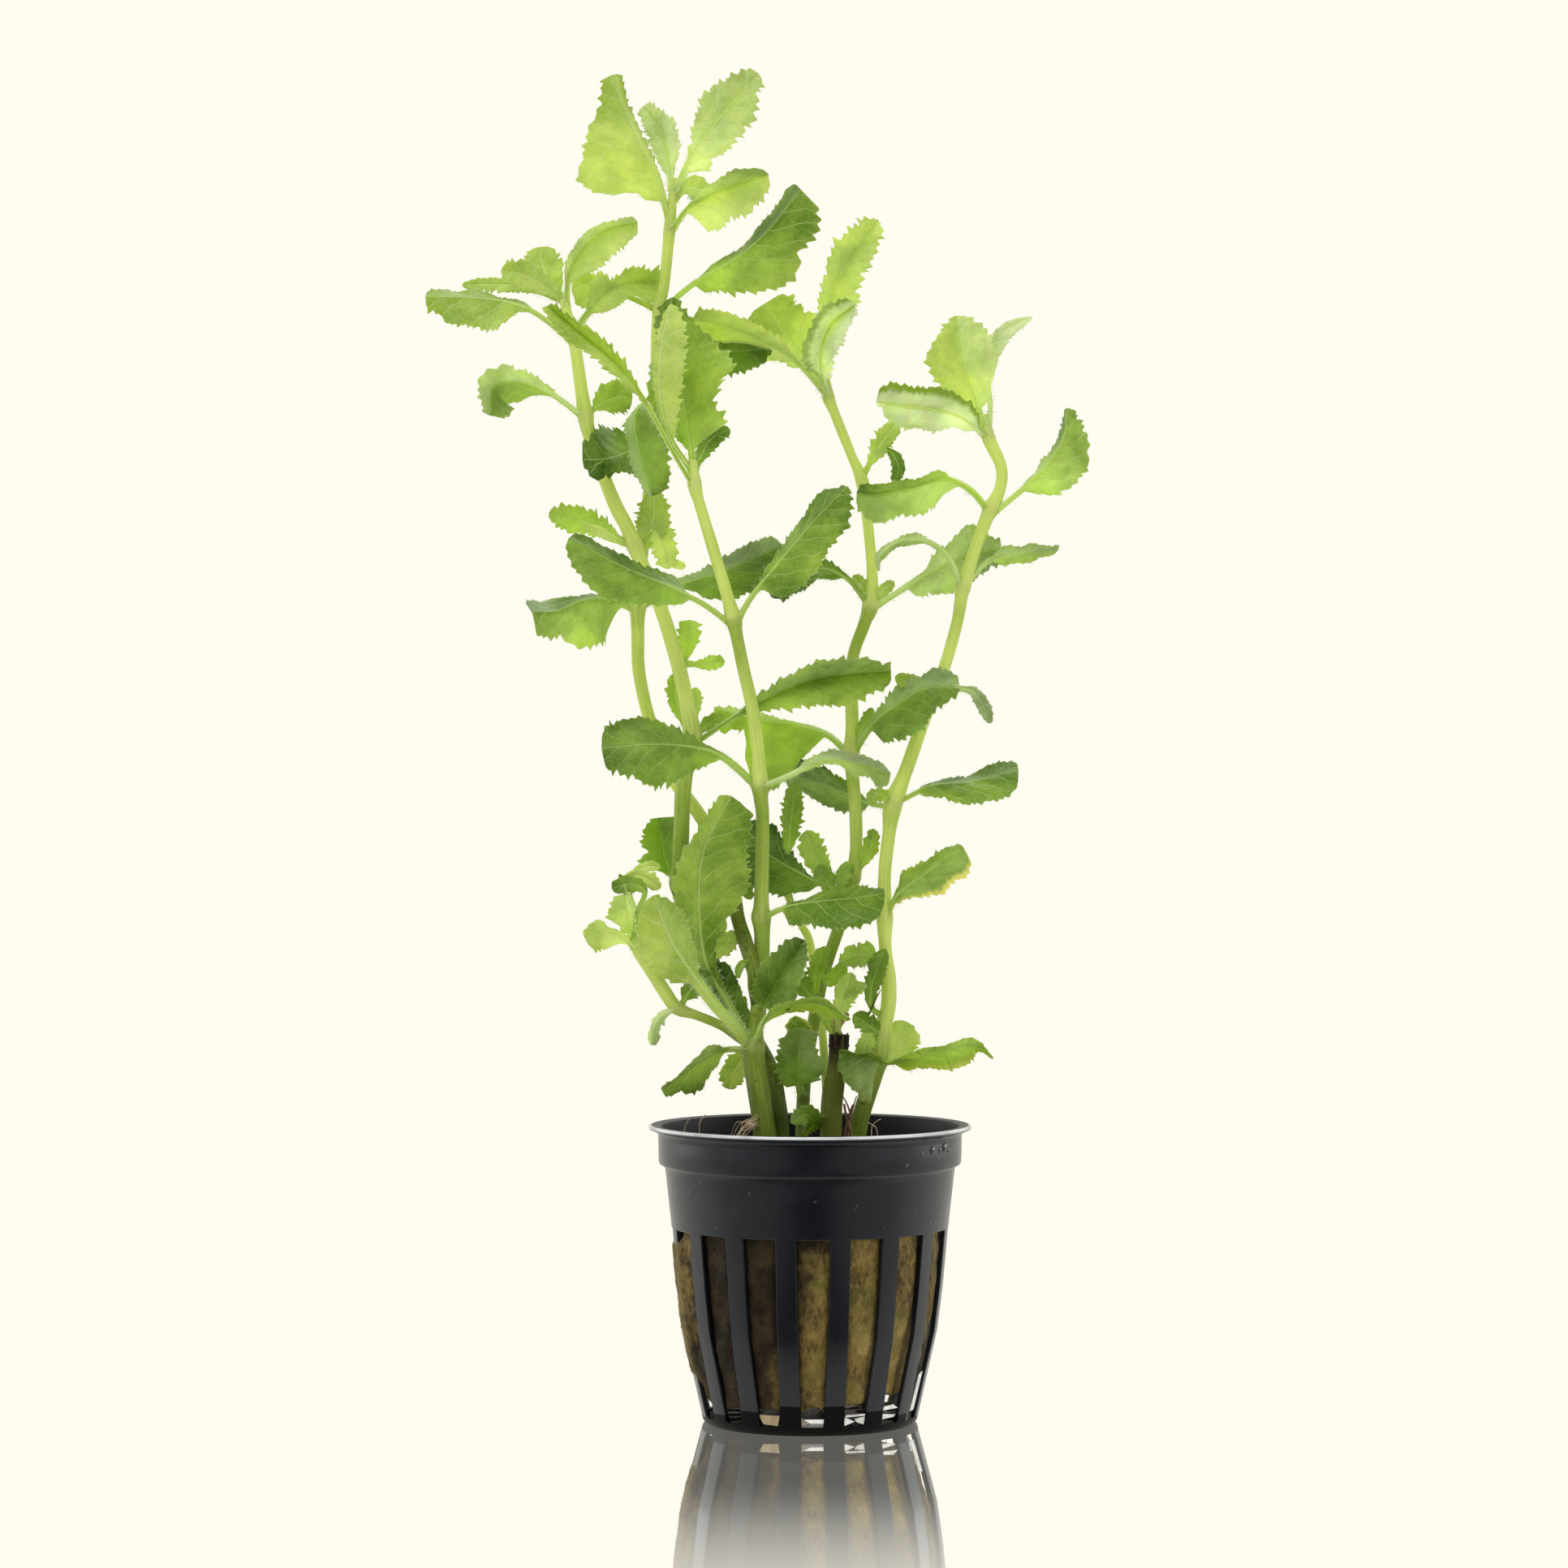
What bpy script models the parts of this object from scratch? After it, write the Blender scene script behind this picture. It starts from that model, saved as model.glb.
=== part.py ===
"""Water wisteria: leafy branching stems that stand in rockwool in a slotted net pot.

Sizes are in millimetres and become metres as each mesh is made. The origin is the centre of the
pot's foot, +Z is up, and the plant's front is towards -Y.
"""
import math

import bpy
from mathutils import Vector

MM = 0.001
GAP = 0.32

# Pot, a 5 cm net pot
POT_HEIGHT = 52.0
LIP_RADIUS = 28.4
LIP_THICKNESS = 0.5
LIP_UNDERSIDE = 50.5
MOUTH_RADIUS = 26.1
MOUTH_ROUNDING = 0.2
COLLAR_RADIUS = 26.6
COLLAR_LOW = 45.3
COLLAR_TAPER = 0.1
WALL = 0.85
BODY_OUTLINE = ((44.6, 25.4), (34.6, 24.3), (24.6, 23.4), (16.5, 22.4),
                (10.5, 21.05), (4.5, 19.7), (1.4, 19.0))
WALL_ROWS = (22.0, 13.0, 6.0)
FOOT_RADIUS = 18.0
FOOT_ROUNDING = 0.4
BASE_THICKNESS = 1.1
SLOTS = 16
SLOT_TURN = math.radians(1.0)
SLOT_TOP = 34.1
SLOT_LOW = 1.5
RIB_WIDTH = 3.6
BASE_SLOT_OUTER = 15.9
BASE_SLOT_INNER = 9.0
BASE_RIB_OUTER = 3.2
BASE_RIB_INNER = 1.8

# Rockwool
WOOL_TOP = 44.0
WOOL_TOP_RADIUS = 21.0
WOOL_SHOULDER = 42.5
WOOL_LOW = 4.0
WOOL_ROWS = (9.0, 16.0, 24.0, 34.0)
WOOL_COLUMNS = 20
WOOL_SLACK = 1.3
WOOL_SLACK_TOP = 26.0
WOOL_LUMP = 0.25

# Leaves
BLADE_THICKNESS = 0.55
PETIOLE_THICKNESS = 1.0
PETIOLE_HALF_WIDTH = 0.75
BLADE_STATIONS = 9
TOOTH_DEPTH = 0.13
TIP_SHARE = 0.985
START_STEP = 0.005
SHORTEST_PETIOLE = 0.05

STEM_SIDES = 7
STEM_STEP = 6.0

# The plant's points are read from its front, as seen from an eye this far before the pot's axis
EYE_DISTANCE = 770.0
EYE_HEIGHT = 111.7
EYE_ACROSS = -4.55
FRONT = Vector((0.0, 1.0, 0.0))
UP = Vector((0.0, 0.0, 1.0))


def seen(across, up, depth):
    """The point at this depth behind the pot's axis that the eye sees at (across, up) on the axis's plane."""
    reach = (EYE_DISTANCE + depth) / EYE_DISTANCE
    return Vector((EYE_ACROSS + (across - EYE_ACROSS) * reach, depth, EYE_HEIGHT + (up - EYE_HEIGHT) * reach))


def foot_up(depth):
    """The height on the axis's plane at which the eye sees a stem's foot, just above the rockwool."""
    reach = (EYE_DISTANCE + depth) / EYE_DISTANCE
    return EYE_HEIGHT + (WOOL_TOP + GAP - EYE_HEIGHT) / reach


def blend(a, b, share):
    return a + (b - a) * share


def catmull(p0, p1, p2, p3, t):
    """A point of the smooth curve between p1 and p2."""
    return 0.5 * (2 * p1 + (p2 - p0) * t + (2 * p0 - 5 * p1 + 4 * p2 - p3) * t * t
                  + (3 * p1 - p0 - 3 * p2 + p3) * t * t * t)


class Route:
    """A smooth curve through points, read by the share of its length, with a value that follows it."""

    SPAN_STEPS = 10

    def __init__(self, points, values=None):
        values = values or [0.0] * len(points)
        ends = [points[0] * 2 - points[1]] + list(points) + [points[-1] * 2 - points[-2]]
        self.points = [points[0].copy()]
        self.values = [values[0]]
        for i in range(len(points) - 1):
            for k in range(1, self.SPAN_STEPS + 1):
                t = k / self.SPAN_STEPS
                self.points.append(catmull(ends[i], ends[i + 1], ends[i + 2], ends[i + 3], t))
                self.values.append(blend(values[i], values[i + 1], t))
        self.lengths = [0.0]
        for a, b in zip(self.points, self.points[1:]):
            self.lengths.append(self.lengths[-1] + (b - a).length)
        self.length = self.lengths[-1]

    def span(self, share):
        """The dense span that holds this share of the length, and the place in it."""
        wanted = min(max(share, 0.0), 1.0) * self.length
        i = 0
        while i < len(self.lengths) - 2 and self.lengths[i + 1] < wanted:
            i += 1
        size = self.lengths[i + 1] - self.lengths[i]
        return i, (wanted - self.lengths[i]) / size

    def point(self, share):
        i, t = self.span(share)
        return blend(self.points[i], self.points[i + 1], t)

    def value(self, share):
        i, t = self.span(share)
        return blend(self.values[i], self.values[i + 1], t)

    def direction(self, share):
        reach = 0.02
        return (self.point(share + reach) - self.point(share - reach)).normalized()

    def clearance(self, place):
        """How far a place is from the surface of the tube that this route is the axis of."""
        return min((p - place).length - v for p, v in zip(self.points, self.values))


def material(name, colour, roughness):
    """A plain finish of one colour."""
    made = bpy.data.materials.new(name)
    made.use_nodes = True
    shader = made.node_tree.nodes["Principled BSDF"]
    shader.inputs["Base Color"].default_value = (*colour, 1.0)
    shader.inputs["Roughness"].default_value = roughness
    shader.inputs["Metallic"].default_value = 0.0
    return made


def solid(name, points, faces, finish, smooth=True):
    """One named object from points in millimetres and faces that look outwards."""
    mesh = bpy.data.meshes.new(name)
    mesh.from_pydata([p * MM for p in points], [], faces)
    mesh.materials.append(finish)
    mesh.update()
    if smooth:
        mesh.shade_smooth()
        mesh.set_sharp_from_angle(angle=math.radians(40))
    made = bpy.data.objects.new(name, mesh)
    bpy.context.scene.collection.objects.link(made)
    return made


def ring_point(radius, angle, height):
    return Vector((radius * math.cos(angle), radius * math.sin(angle), height))


def body_radius(height):
    """The pot wall's outer radius between the collar and the foot."""
    for (top, outer), (low, inner) in zip(BODY_OUTLINE, BODY_OUTLINE[1:]):
        if height >= low:
            return inner + (outer - inner) * (height - low) / (top - low)
    return BODY_OUTLINE[-1][1]


def pot(finish):
    """The net pot: rows of outer and inner points down the wall and in across the base."""
    step_height, step_radius = BODY_OUTLINE[0]
    rows = [((LIP_RADIUS, POT_HEIGHT - LIP_THICKNESS), (LIP_RADIUS, POT_HEIGHT), RIB_WIDTH),
            ((COLLAR_RADIUS, LIP_UNDERSIDE), (MOUTH_RADIUS, POT_HEIGHT - MOUTH_ROUNDING), RIB_WIDTH),
            ((COLLAR_RADIUS - COLLAR_TAPER, COLLAR_LOW), (COLLAR_RADIUS - WALL, COLLAR_LOW), RIB_WIDTH),
            ((step_radius, step_height), (step_radius - WALL, step_height), RIB_WIDTH)]
    first_slot_row = len(rows)
    for height in (SLOT_TOP, *WALL_ROWS, SLOT_LOW):
        outer = body_radius(height)
        rows.append(((outer, height), (outer - WALL, height), RIB_WIDTH))
    last_slot_row = len(rows) - 1
    rows.append(((FOOT_RADIUS, 0.0), (FOOT_RADIUS - FOOT_ROUNDING, BASE_THICKNESS), RIB_WIDTH))
    rows.append(((BASE_SLOT_OUTER, 0.0), (BASE_SLOT_OUTER, BASE_THICKNESS), BASE_RIB_OUTER))
    rows.append(((BASE_SLOT_INNER, 0.0), (BASE_SLOT_INNER, BASE_THICKNESS), BASE_RIB_INNER))
    columns = SLOTS * 4
    pitch = 2 * math.pi / SLOTS

    def angle(column, radius, rib):
        edge = pitch / 2 - math.asin(rib / 2 / radius)
        offset = (0.0, edge, pitch / 2, pitch - edge)[column % 4]
        return -math.pi / 2 + SLOT_TURN + (column // 4) * pitch + offset

    points = []
    for outer, inner, rib in rows:
        for radius, height in (outer, inner):
            points += [ring_point(radius, angle(c, radius, rib), height) for c in range(columns)]
    centre_low = len(points)
    points.append(Vector((0, 0, 0)))
    centre_top = len(points)
    points.append(Vector((0, 0, BASE_THICKNESS)))

    def outer_at(row, column):
        return row * 2 * columns + column % columns

    def inner_at(row, column):
        return (row * 2 + 1) * columns + column % columns

    def is_solid(row, column):
        slot = column % 4 in (0, 3)
        in_wall = first_slot_row <= row < last_slot_row
        in_base = row == len(rows) - 2
        return not (slot and (in_wall or in_base))

    faces = []
    for row in range(len(rows) - 1):
        for c in range(columns):
            if not is_solid(row, c):
                continue
            d = c + 1
            faces.append((outer_at(row, c), outer_at(row + 1, c), outer_at(row + 1, d), outer_at(row, d)))
            faces.append((inner_at(row, c), inner_at(row, d), inner_at(row + 1, d), inner_at(row + 1, c)))
            if row == 0 or not is_solid(row - 1, c):
                faces.append((outer_at(row, c), outer_at(row, d), inner_at(row, d), inner_at(row, c)))
            if row < len(rows) - 2 and not is_solid(row + 1, c):
                low = row + 1
                faces.append((outer_at(low, c), inner_at(low, c), inner_at(low, d), outer_at(low, d)))
            if not is_solid(row, c - 1):
                faces.append((outer_at(row, c), inner_at(row, c), inner_at(row + 1, c), outer_at(row + 1, c)))
            if not is_solid(row, d):
                faces.append((outer_at(row, d), outer_at(row + 1, d), inner_at(row + 1, d), inner_at(row, d)))
    last = len(rows) - 1
    for c in range(columns):
        faces.append((outer_at(last, c), centre_low, outer_at(last, c + 1)))
        faces.append((inner_at(last, c), inner_at(last, c + 1), centre_top))
        if not is_solid(last - 1, c):
            faces.append((outer_at(last, c), outer_at(last, c + 1), inner_at(last, c + 1), inner_at(last, c)))
    return solid("pot", points, faces, finish)


def rockwool(finish):
    """The plug of rockwool: it fills the pot and is a little slack low on its right side."""
    heights = (WOOL_LOW, *WOOL_ROWS, WOOL_SHOULDER)
    points = []
    for height in heights:
        for c in range(WOOL_COLUMNS):
            turn = 2 * math.pi * c / WOOL_COLUMNS
            slack = WOOL_SLACK * max(0.0, math.cos(turn)) * max(0.0, 1 - height / WOOL_SLACK_TOP)
            inner = body_radius(height) - WALL
            lump = WOOL_LUMP * (1 + math.sin(3 * turn + 0.23 * height))
            points.append(ring_point(inner - GAP - slack - lump, turn, height))
    for c in range(WOOL_COLUMNS):
        turn = 2 * math.pi * c / WOOL_COLUMNS
        points.append(ring_point(WOOL_TOP_RADIUS, turn, WOOL_TOP))
    centre_low = len(points)
    points.append(Vector((0, 0, WOOL_LOW)))
    centre_top = len(points)
    points.append(Vector((0, 0, WOOL_TOP)))
    faces = []
    rings = len(heights)
    for ring in range(rings):
        for c in range(WOOL_COLUMNS):
            here = ring * WOOL_COLUMNS
            after = (c + 1) % WOOL_COLUMNS
            faces.append((here + c, here + after, here + WOOL_COLUMNS + after, here + WOOL_COLUMNS + c))
    for c in range(WOOL_COLUMNS):
        after = (c + 1) % WOOL_COLUMNS
        faces.append((centre_low, after, c))
        faces.append((centre_top, rings * WOOL_COLUMNS + c, rings * WOOL_COLUMNS + after))
    return solid("rockwool", points, faces, finish)


def stem(name, finish, rows, flat_foot=True):
    """A stem through rows of (across, up, depth, width), from its foot to its top."""
    route = Route([seen(*row[:3]) for row in rows], [row[3] / 2 for row in rows])
    count = max(3, round(route.length / STEM_STEP))
    points = []
    side = Vector((1, 0, 0))
    for k in range(count + 1):
        share = k / count
        along = UP if k == 0 and flat_foot else route.direction(share)
        side = (side - along * side.dot(along)).normalized()
        other = along.cross(side)
        for s in range(STEM_SIDES):
            turn = 2 * math.pi * s / STEM_SIDES
            radius = route.value(share)
            points.append(route.point(share) + (side * math.cos(turn) + other * math.sin(turn)) * radius)
    faces = []
    for k in range(count):
        for s in range(STEM_SIDES):
            after = (s + 1) % STEM_SIDES
            here = k * STEM_SIDES
            faces.append((here + s, here + after, here + STEM_SIDES + after, here + STEM_SIDES + s))
    faces.append(tuple(reversed(range(STEM_SIDES))))
    faces.append(tuple(count * STEM_SIDES + s for s in range(STEM_SIDES)))
    solid(name, points, faces, finish)
    return route


def blade_share(along, petiole, wide, blunt):
    """How much of its full half-width the blade has at this share of the leaf's length."""
    if along <= petiole:
        return 0.0
    s = (along - petiole) / (1 - petiole)
    rise = blunt * wide / (1 - wide)
    return (s / wide) ** rise * ((1 - s) / (1 - wide)) ** blunt


def leaf(name, finish, on, path, left, right, petiole=0.25, wide=0.6, blunt=0.4, stalk=PETIOLE_HALF_WIDTH):
    """A leaf along its midrib, from the stem it grows on to its tip.

    left and right are each half's width and how far it is turned towards the front, in degrees.
    """
    route = Route([seen(*p) for p in path])

    def section(share, grown):
        """The left margin, the midrib's front, the right margin and the midrib's back at this share."""
        centre = route.point(share)
        along = route.direction(share)
        across = along.cross(FRONT).normalized()
        towards = along.cross(across)
        margins = []
        face = Vector((0, 0, 0))
        for (width, tilt), sign in ((left, 1), (right, -1)):
            turn = math.radians(tilt)
            reach = max(stalk * (1 - 0.4 * share), width * grown)
            margins.append(centre + (across * sign * math.cos(turn) + towards * math.sin(turn)) * reach)
            face += towards * math.cos(turn) - across * sign * math.sin(turn)
        thick = blend(PETIOLE_THICKNESS, BLADE_THICKNESS, min(1.0, share / petiole))
        lift = face.normalized() * thick / 2
        return [margins[0], centre + lift, margins[1], centre - lift]

    start = 0.0
    while min(on.clearance(p) for p in section(start, 0.0)) < GAP:
        start += START_STEP
    opens = max(petiole, start + SHORTEST_PETIOLE)
    shares = [start, blend(start, opens, 0.7)]
    shares += [blend(opens, TIP_SHARE, (k + 1) / BLADE_STATIONS) for k in range(BLADE_STATIONS)]
    points = []
    for k, share in enumerate(shares):
        tooth = 1.0 - (TOOTH_DEPTH if k % 2 else 0.0)
        points += section(share, blade_share(share, opens, wide, blunt) * tooth)
    faces = []
    for k in range(len(shares) - 1):
        a = k * 4
        b = a + 4
        for first, second in ((0, 1), (1, 2), (2, 3), (3, 0)):
            middle_first = first in (1, 3)
            p, q, r, s = a + first, a + second, b + second, b + first
            faces += [(p, q, r), (p, r, s)] if middle_first else [(p, q, s), (q, r, s)]
    faces.append((0, 3, 2, 1))
    last = (len(shares) - 1) * 4
    faces.append((last, last + 1, last + 2, last + 3))
    solid(name, points, faces, finish)


for old in list(bpy.data.objects):
    bpy.data.objects.remove(old, do_unlink=True)

pot(material("pot_plastic", (0.035, 0.04, 0.05), 0.45))
rockwool(material("rockwool", (0.19, 0.13, 0.05), 0.95))

GREEN = material("stem_green", (0.30, 0.42, 0.06), 0.5)
OLD_STEM = material("stem_old", (0.10, 0.08, 0.02), 0.7)
YOUNG_LEAF = material("leaf_young", (0.42, 0.58, 0.12), 0.5)
MID_LEAF = material("leaf_mid", (0.26, 0.42, 0.05), 0.5)
DARK_LEAF = material("leaf_dark", (0.11, 0.24, 0.03), 0.5)

# Stems, each from its foot in the rockwool to its top: across, up, depth and width of each place
STEM_A = stem("stem_a", GREEN, [
    (-10.9, 75.2, -5.0, 2.0), (-9.8, 79.0, -4.5, 2.6), (-11.3, 84.0, -1.9, 2.6), (-12.6, 88.0, 0.0, 2.5),
    (-13.9, 94.0, 2.0, 2.5), (-18.4, 104.7, 6.0, 2.5), (-23.9, 112.6, 7.0, 2.5), (-27.8, 122.0, 8.0, 2.4),
    (-29.9, 131.0, 8.0, 2.3), (-30.2, 141.5, 6.5, 3.0), (-30.0, 146.0, 6.0, 2.3), (-28.5, 160.0, 5.5, 2.2),
    (-27.2, 176.0, 5.0, 2.0), (-26.6, 194.5, 5.0, 2.3), (-25.6, 200.0, 4.5, 1.8), (-24.6, 209.3, 3.5, 2.2),
    (-24.0, 217.0, 3.0, 1.4)])
STEM_B = stem("stem_b", GREEN, [
    (-4.9, foot_up(-2.5), -2.5, 3.0), (-5.4, 54.0, -1.8, 3.0), (-6.6, 60.5, 0.5, 2.9), (-8.9, 65.5, 2.4, 2.8),
    (-11.3, 69.0, 3.0, 2.8), (-13.8, 73.0, 3.2, 2.8), (-17.3, 80.5, 3.2, 2.8), (-21.0, 89.0, 2.6, 2.8),
    (-23.3, 94.5, 2.0, 3.1), (-22.7, 99.0, 1.5, 2.8), (-22.2, 111.0, 0.5, 2.8), (-20.6, 119.5, 0.0, 3.3),
    (-21.2, 124.0, 0.0, 2.8), (-23.2, 133.0, 0.0, 2.6), (-26.5, 143.5, 0.0, 2.4), (-30.5, 153.0, 0.0, 3.0),
    (-34.5, 161.5, 0.0, 2.4), (-38.6, 172.5, -1.0, 2.4), (-39.4, 176.5, -1.0, 2.8), (-40.1, 181.0, -1.0, 2.2),
    (-41.4, 189.5, -2.0, 2.2), (-43.2, 196.8, -2.0, 1.6)])
STEM_C = stem("stem_c", GREEN, [
    (-7.9, foot_up(-5.2), -5.2, 3.9), (-8.7, 56.0, -5.2, 3.8), (-9.7, 62.0, -5.2, 3.7),
    (-10.0, 65.8, -4.8, 3.9), (-9.6, 69.0, -3.6, 2.9), (-9.0, 72.5, -2.5, 2.7),
    (-8.6, 79.0, -1.4, 2.7), (-8.4, 85.0, -1.0, 2.6),
    (-8.6, 88.4, -1.0, 3.2), (-8.5, 92.0, -1.3, 2.4), (-8.3, 105.0, -3.0, 2.2), (-8.7, 111.3, -3.5, 2.9),
    (-9.0, 116.0, -4.0, 2.3), (-9.9, 124.0, -5.0, 2.2), (-11.8, 132.5, -6.0, 2.1), (-13.3, 140.0, -7.0, 2.7),
    (-14.6, 145.0, -7.5, 2.1), (-16.8, 152.4, -8.0, 2.0), (-20.0, 163.4, -9.0, 2.3),
    (-20.6, 168.5, -9.0, 1.6)])
STEM_D = stem("stem_d", GREEN, [
    (-1.4, foot_up(3.0), 3.0, 2.4), (-1.1, 58.0, 3.5, 2.4), (-0.2, 65.0, 4.5, 2.3), (2.3, 78.0, 5.0, 2.2),
    (5.3, 87.1, 5.0, 2.2), (7.6, 95.5, 4.5, 2.7), (8.1, 101.0, 4.0, 2.2), (8.0, 107.0, 4.0, 2.3),
    (7.3, 117.3, 4.0, 2.9), (7.4, 122.0, 4.0, 2.3), (7.4, 133.0, 4.0, 2.1), (9.6, 139.8, 4.0, 2.2),
    (10.7, 143.2, 4.0, 2.9), (10.9, 149.0, 4.0, 2.0), (10.3, 156.0, 4.0, 1.9), (9.0, 165.4, 4.0, 2.2),
    (7.2, 169.5, 4.0, 1.7), (3.4, 179.0, 4.0, 2.0), (2.6, 182.5, 4.0, 1.6)])
STEM_E = stem("stem_e", GREEN, [
    (7.9, foot_up(-0.6), -0.6, 3.3), (9.4, 55.0, -0.6, 3.0), (11.9, 62.5, -0.4, 3.1), (12.6, 68.3, 0.0, 3.1),
    (13.7, 72.5, 0.0, 2.7), (13.8, 77.0, 0.0, 2.6), (13.2, 83.2, 0.0, 2.1), (13.1, 88.3, 0.0, 2.7),
    (13.1, 96.0, 0.2, 2.1), (13.9, 103.5, 0.4, 2.2), (14.5, 108.0, 0.5, 3.2), (16.4, 113.0, 0.5, 2.6),
    (20.2, 123.5, 0.3, 2.2), (23.6, 132.3, 0.0, 2.1), (25.7, 139.6, 0.0, 2.0), (26.6, 145.8, 0.0, 2.5),
    (29.0, 153.0, 0.0, 2.1), (31.4, 159.3, 0.0, 2.7), (33.4, 163.5, 0.0, 2.0), (33.4, 167.6, 0.0, 2.0),
    (31.2, 172.5, 0.0, 2.3), (30.6, 176.5, 0.0, 1.5)])
CUT_STEM = stem("stem_cut", OLD_STEM, [
    (3.5, foot_up(-1.6), -1.6, 4.2), (4.0, 57.0, -1.6, 3.9), (4.9, 63.5, -1.6, 3.4), (5.1, 67.8, -1.6, 3.7)])
SIDE_SHOOT = stem("side_shoot", GREEN, [
    (-12.2, 66.6, -5.2, 1.6), (-15.5, 69.3, -5.9, 1.6), (-20.0, 71.2, -6.8, 1.6), (-23.3, 72.4, -7.2, 2.2),
    (-25.3, 75.0, -7.3, 2.3), (-27.6, 78.6, -7.6, 2.2), (-30.6, 83.5, -8.0, 1.8)], flat_foot=False)

# Leaves of stem A
leaf("leaf_a_crown_left", YOUNG_LEAF, STEM_A, [(-24.6, 209.8, 3.5), (-26.6, 217.5, 1), (-30.5, 225.5, -2),
     (-35.3, 236.3, -4)], (10.5, 12), (5, -55), petiole=0.16, wide=0.52, blunt=0.35)
leaf("leaf_a_crown_back", YOUNG_LEAF, STEM_A, [(-24.0, 216.6, 3), (-24.9, 222, 6.5), (-26.4, 227, 9),
     (-29.3, 230.8, 11)], (3.4, 20), (4.5, 50), petiole=0.12, wide=0.55)
leaf("leaf_a_crown_right", YOUNG_LEAF, STEM_A, [(-23.8, 216.2, 3), (-20.5, 222, 1), (-16, 228.5, -1),
     (-8.7, 236.6, -4)], (5.4, 20), (6.2, 18), petiole=0.15, wide=0.58)
leaf("leaf_a_209_right", YOUNG_LEAF, STEM_A, [(-24.6, 209.2, 3.5), (-21.4, 212.8, 1), (-17, 215.4, -1),
     (-12, 217.2, -3), (-7, 218.8, -4)], (6, 78), (7.2, 15), petiole=0.2, wide=0.55)
leaf("leaf_a_195_right", MID_LEAF, STEM_A, [(-26.4, 195.2, 5), (-20.5, 199.6, 3), (-14, 203.2, 0),
     (-8, 208, -3), (-1.8, 215.6, -5)], (8, -70), (9, 15), petiole=0.22, wide=0.6, blunt=0.35)
leaf("leaf_a_176_left", DARK_LEAF, STEM_A, [(-27.3, 173.2, 5), (-29.8, 171.2, 4.2), (-32.5, 169.7, 1.6),
     (-36, 168.7, -4.2), (-40.2, 168.5, -5)], (5, 20), (5.8, -5), petiole=0.15, wide=0.55)
leaf("leaf_a_176_hanging", DARK_LEAF, STEM_A, [(-27.2, 176.5, 5), (-29.3, 178, 1), (-30.6, 175.5, -2.5),
     (-29.5, 169, -4.5), (-27.6, 161.8, -4)], (5.5, 40), (3, -50), petiole=0.2, wide=0.55)
leaf("leaf_a_143_left", MID_LEAF, STEM_A, [(-30.4, 142.6, 6.4), (-35.5, 144.2, 4), (-40, 143.8, 1),
     (-44.5, 142, -1), (-49, 141.8, -3)], (8, 10), (7, -70), petiole=0.12, wide=0.55, blunt=0.35)
leaf("leaf_a_143_right", DARK_LEAF, STEM_A, [(-29.9, 142.8, 6.3), (-23.5, 146.6, 5), (-16, 149, 4),
     (-9, 151.8, 3.5), (-4.5, 153.8, 3)], (6, 65), (7, -50), petiole=0.25, wide=0.6)

# Leaves of stem B
leaf("leaf_b_crown_right", YOUNG_LEAF, STEM_B, [(-41.8, 191, -2), (-38.8, 194.4, 0), (-35.5, 198, 3),
     (-31, 199.8, 6), (-25, 199.5, 9)], (4.8, 40), (5, 40), petiole=0.2, wide=0.6)
leaf("leaf_b_crown_upright", YOUNG_LEAF, STEM_B, [(-43, 196.2, -2), (-42.3, 201.5, -3.5), (-39.3, 206.4, -5),
     (-35.3, 209.2, -6), (-29.9, 210.3, -6.5)], (5.5, 75), (5.2, 20), petiole=0.15, wide=0.6)
leaf("leaf_b_crown_left", YOUNG_LEAF, STEM_B, [(-41.4, 189.5, -2), (-46, 193, -4), (-50.5, 195.5, -5.5),
     (-58, 196.8, -6.5), (-67.9, 197.2, -7)], (7, 35), (6, -70), petiole=0.33, wide=0.5, blunt=0.35)
leaf("leaf_b_176_left", MID_LEAF, STEM_B, [(-39.3, 176.2, -1), (-45.2, 180, -4), (-50.5, 182.3, -6),
     (-55.6, 181.5, -8), (-56.3, 176, -9)], (5.5, -60), (5.2, 55), petiole=0.28, wide=0.6)
leaf("leaf_b_120_right", MID_LEAF, STEM_B, [(-20.2, 119.4, 0), (-13.5, 123.3, 0.4), (-8, 126.4, 0.6),
     (0, 129.8, 0.2), (8, 131, 0), (14.8, 131.4, 0.4)], (6, 62), (6.5, 48), petiole=0.22, wide=0.62)
leaf("leaf_b_94_left", DARK_LEAF, STEM_B, [(-23.6, 94.8, 2), (-25.2, 98, 4.5), (-26.2, 102, 6),
     (-26.6, 106, 6.5)], (4.5, 40), (4, 30), petiole=0.12, wide=0.6, blunt=0.35)

# Leaves of stem C
leaf("leaf_c_crown_left", YOUNG_LEAF, STEM_C, [(-20.2, 164.5, -9), (-24.3, 170.3, -11), (-28.5, 178, -11),
     (-33.5, 185, -10.5), (-40, 190.5, -10), (-46.4, 196, -9)], (5.5, 68), (5.5, 60), petiole=0.28, wide=0.65)
leaf("leaf_c_crown_up", MID_LEAF, STEM_C, [(-20.6, 167.5, -9), (-21.3, 174.5, -7.5), (-23, 183, -6),
     (-24, 190, -5), (-24.2, 197.5, -4)], (7, -50), (8, 22), petiole=0.1, wide=0.42, blunt=0.6)
leaf("leaf_c_140_left", DARK_LEAF, STEM_C, [(-13.4, 140, -7), (-18.5, 143.3, -9), (-24, 146, -10.5),
     (-33, 149.8, -12), (-42.8, 155, -12.5)], (7.5, 30), (7, -70), petiole=0.27, wide=0.6, blunt=0.35)
leaf("leaf_c_140_right", MID_LEAF, STEM_C, [(-13.1, 140.2, -7), (-10.3, 144.7, -9), (-6, 149.7, -10.5),
     (0.5, 157.5, -12), (7, 164.2, -12.5)], (6.5, -67), (7, 30), petiole=0.25, wide=0.6, blunt=0.33)
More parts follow.
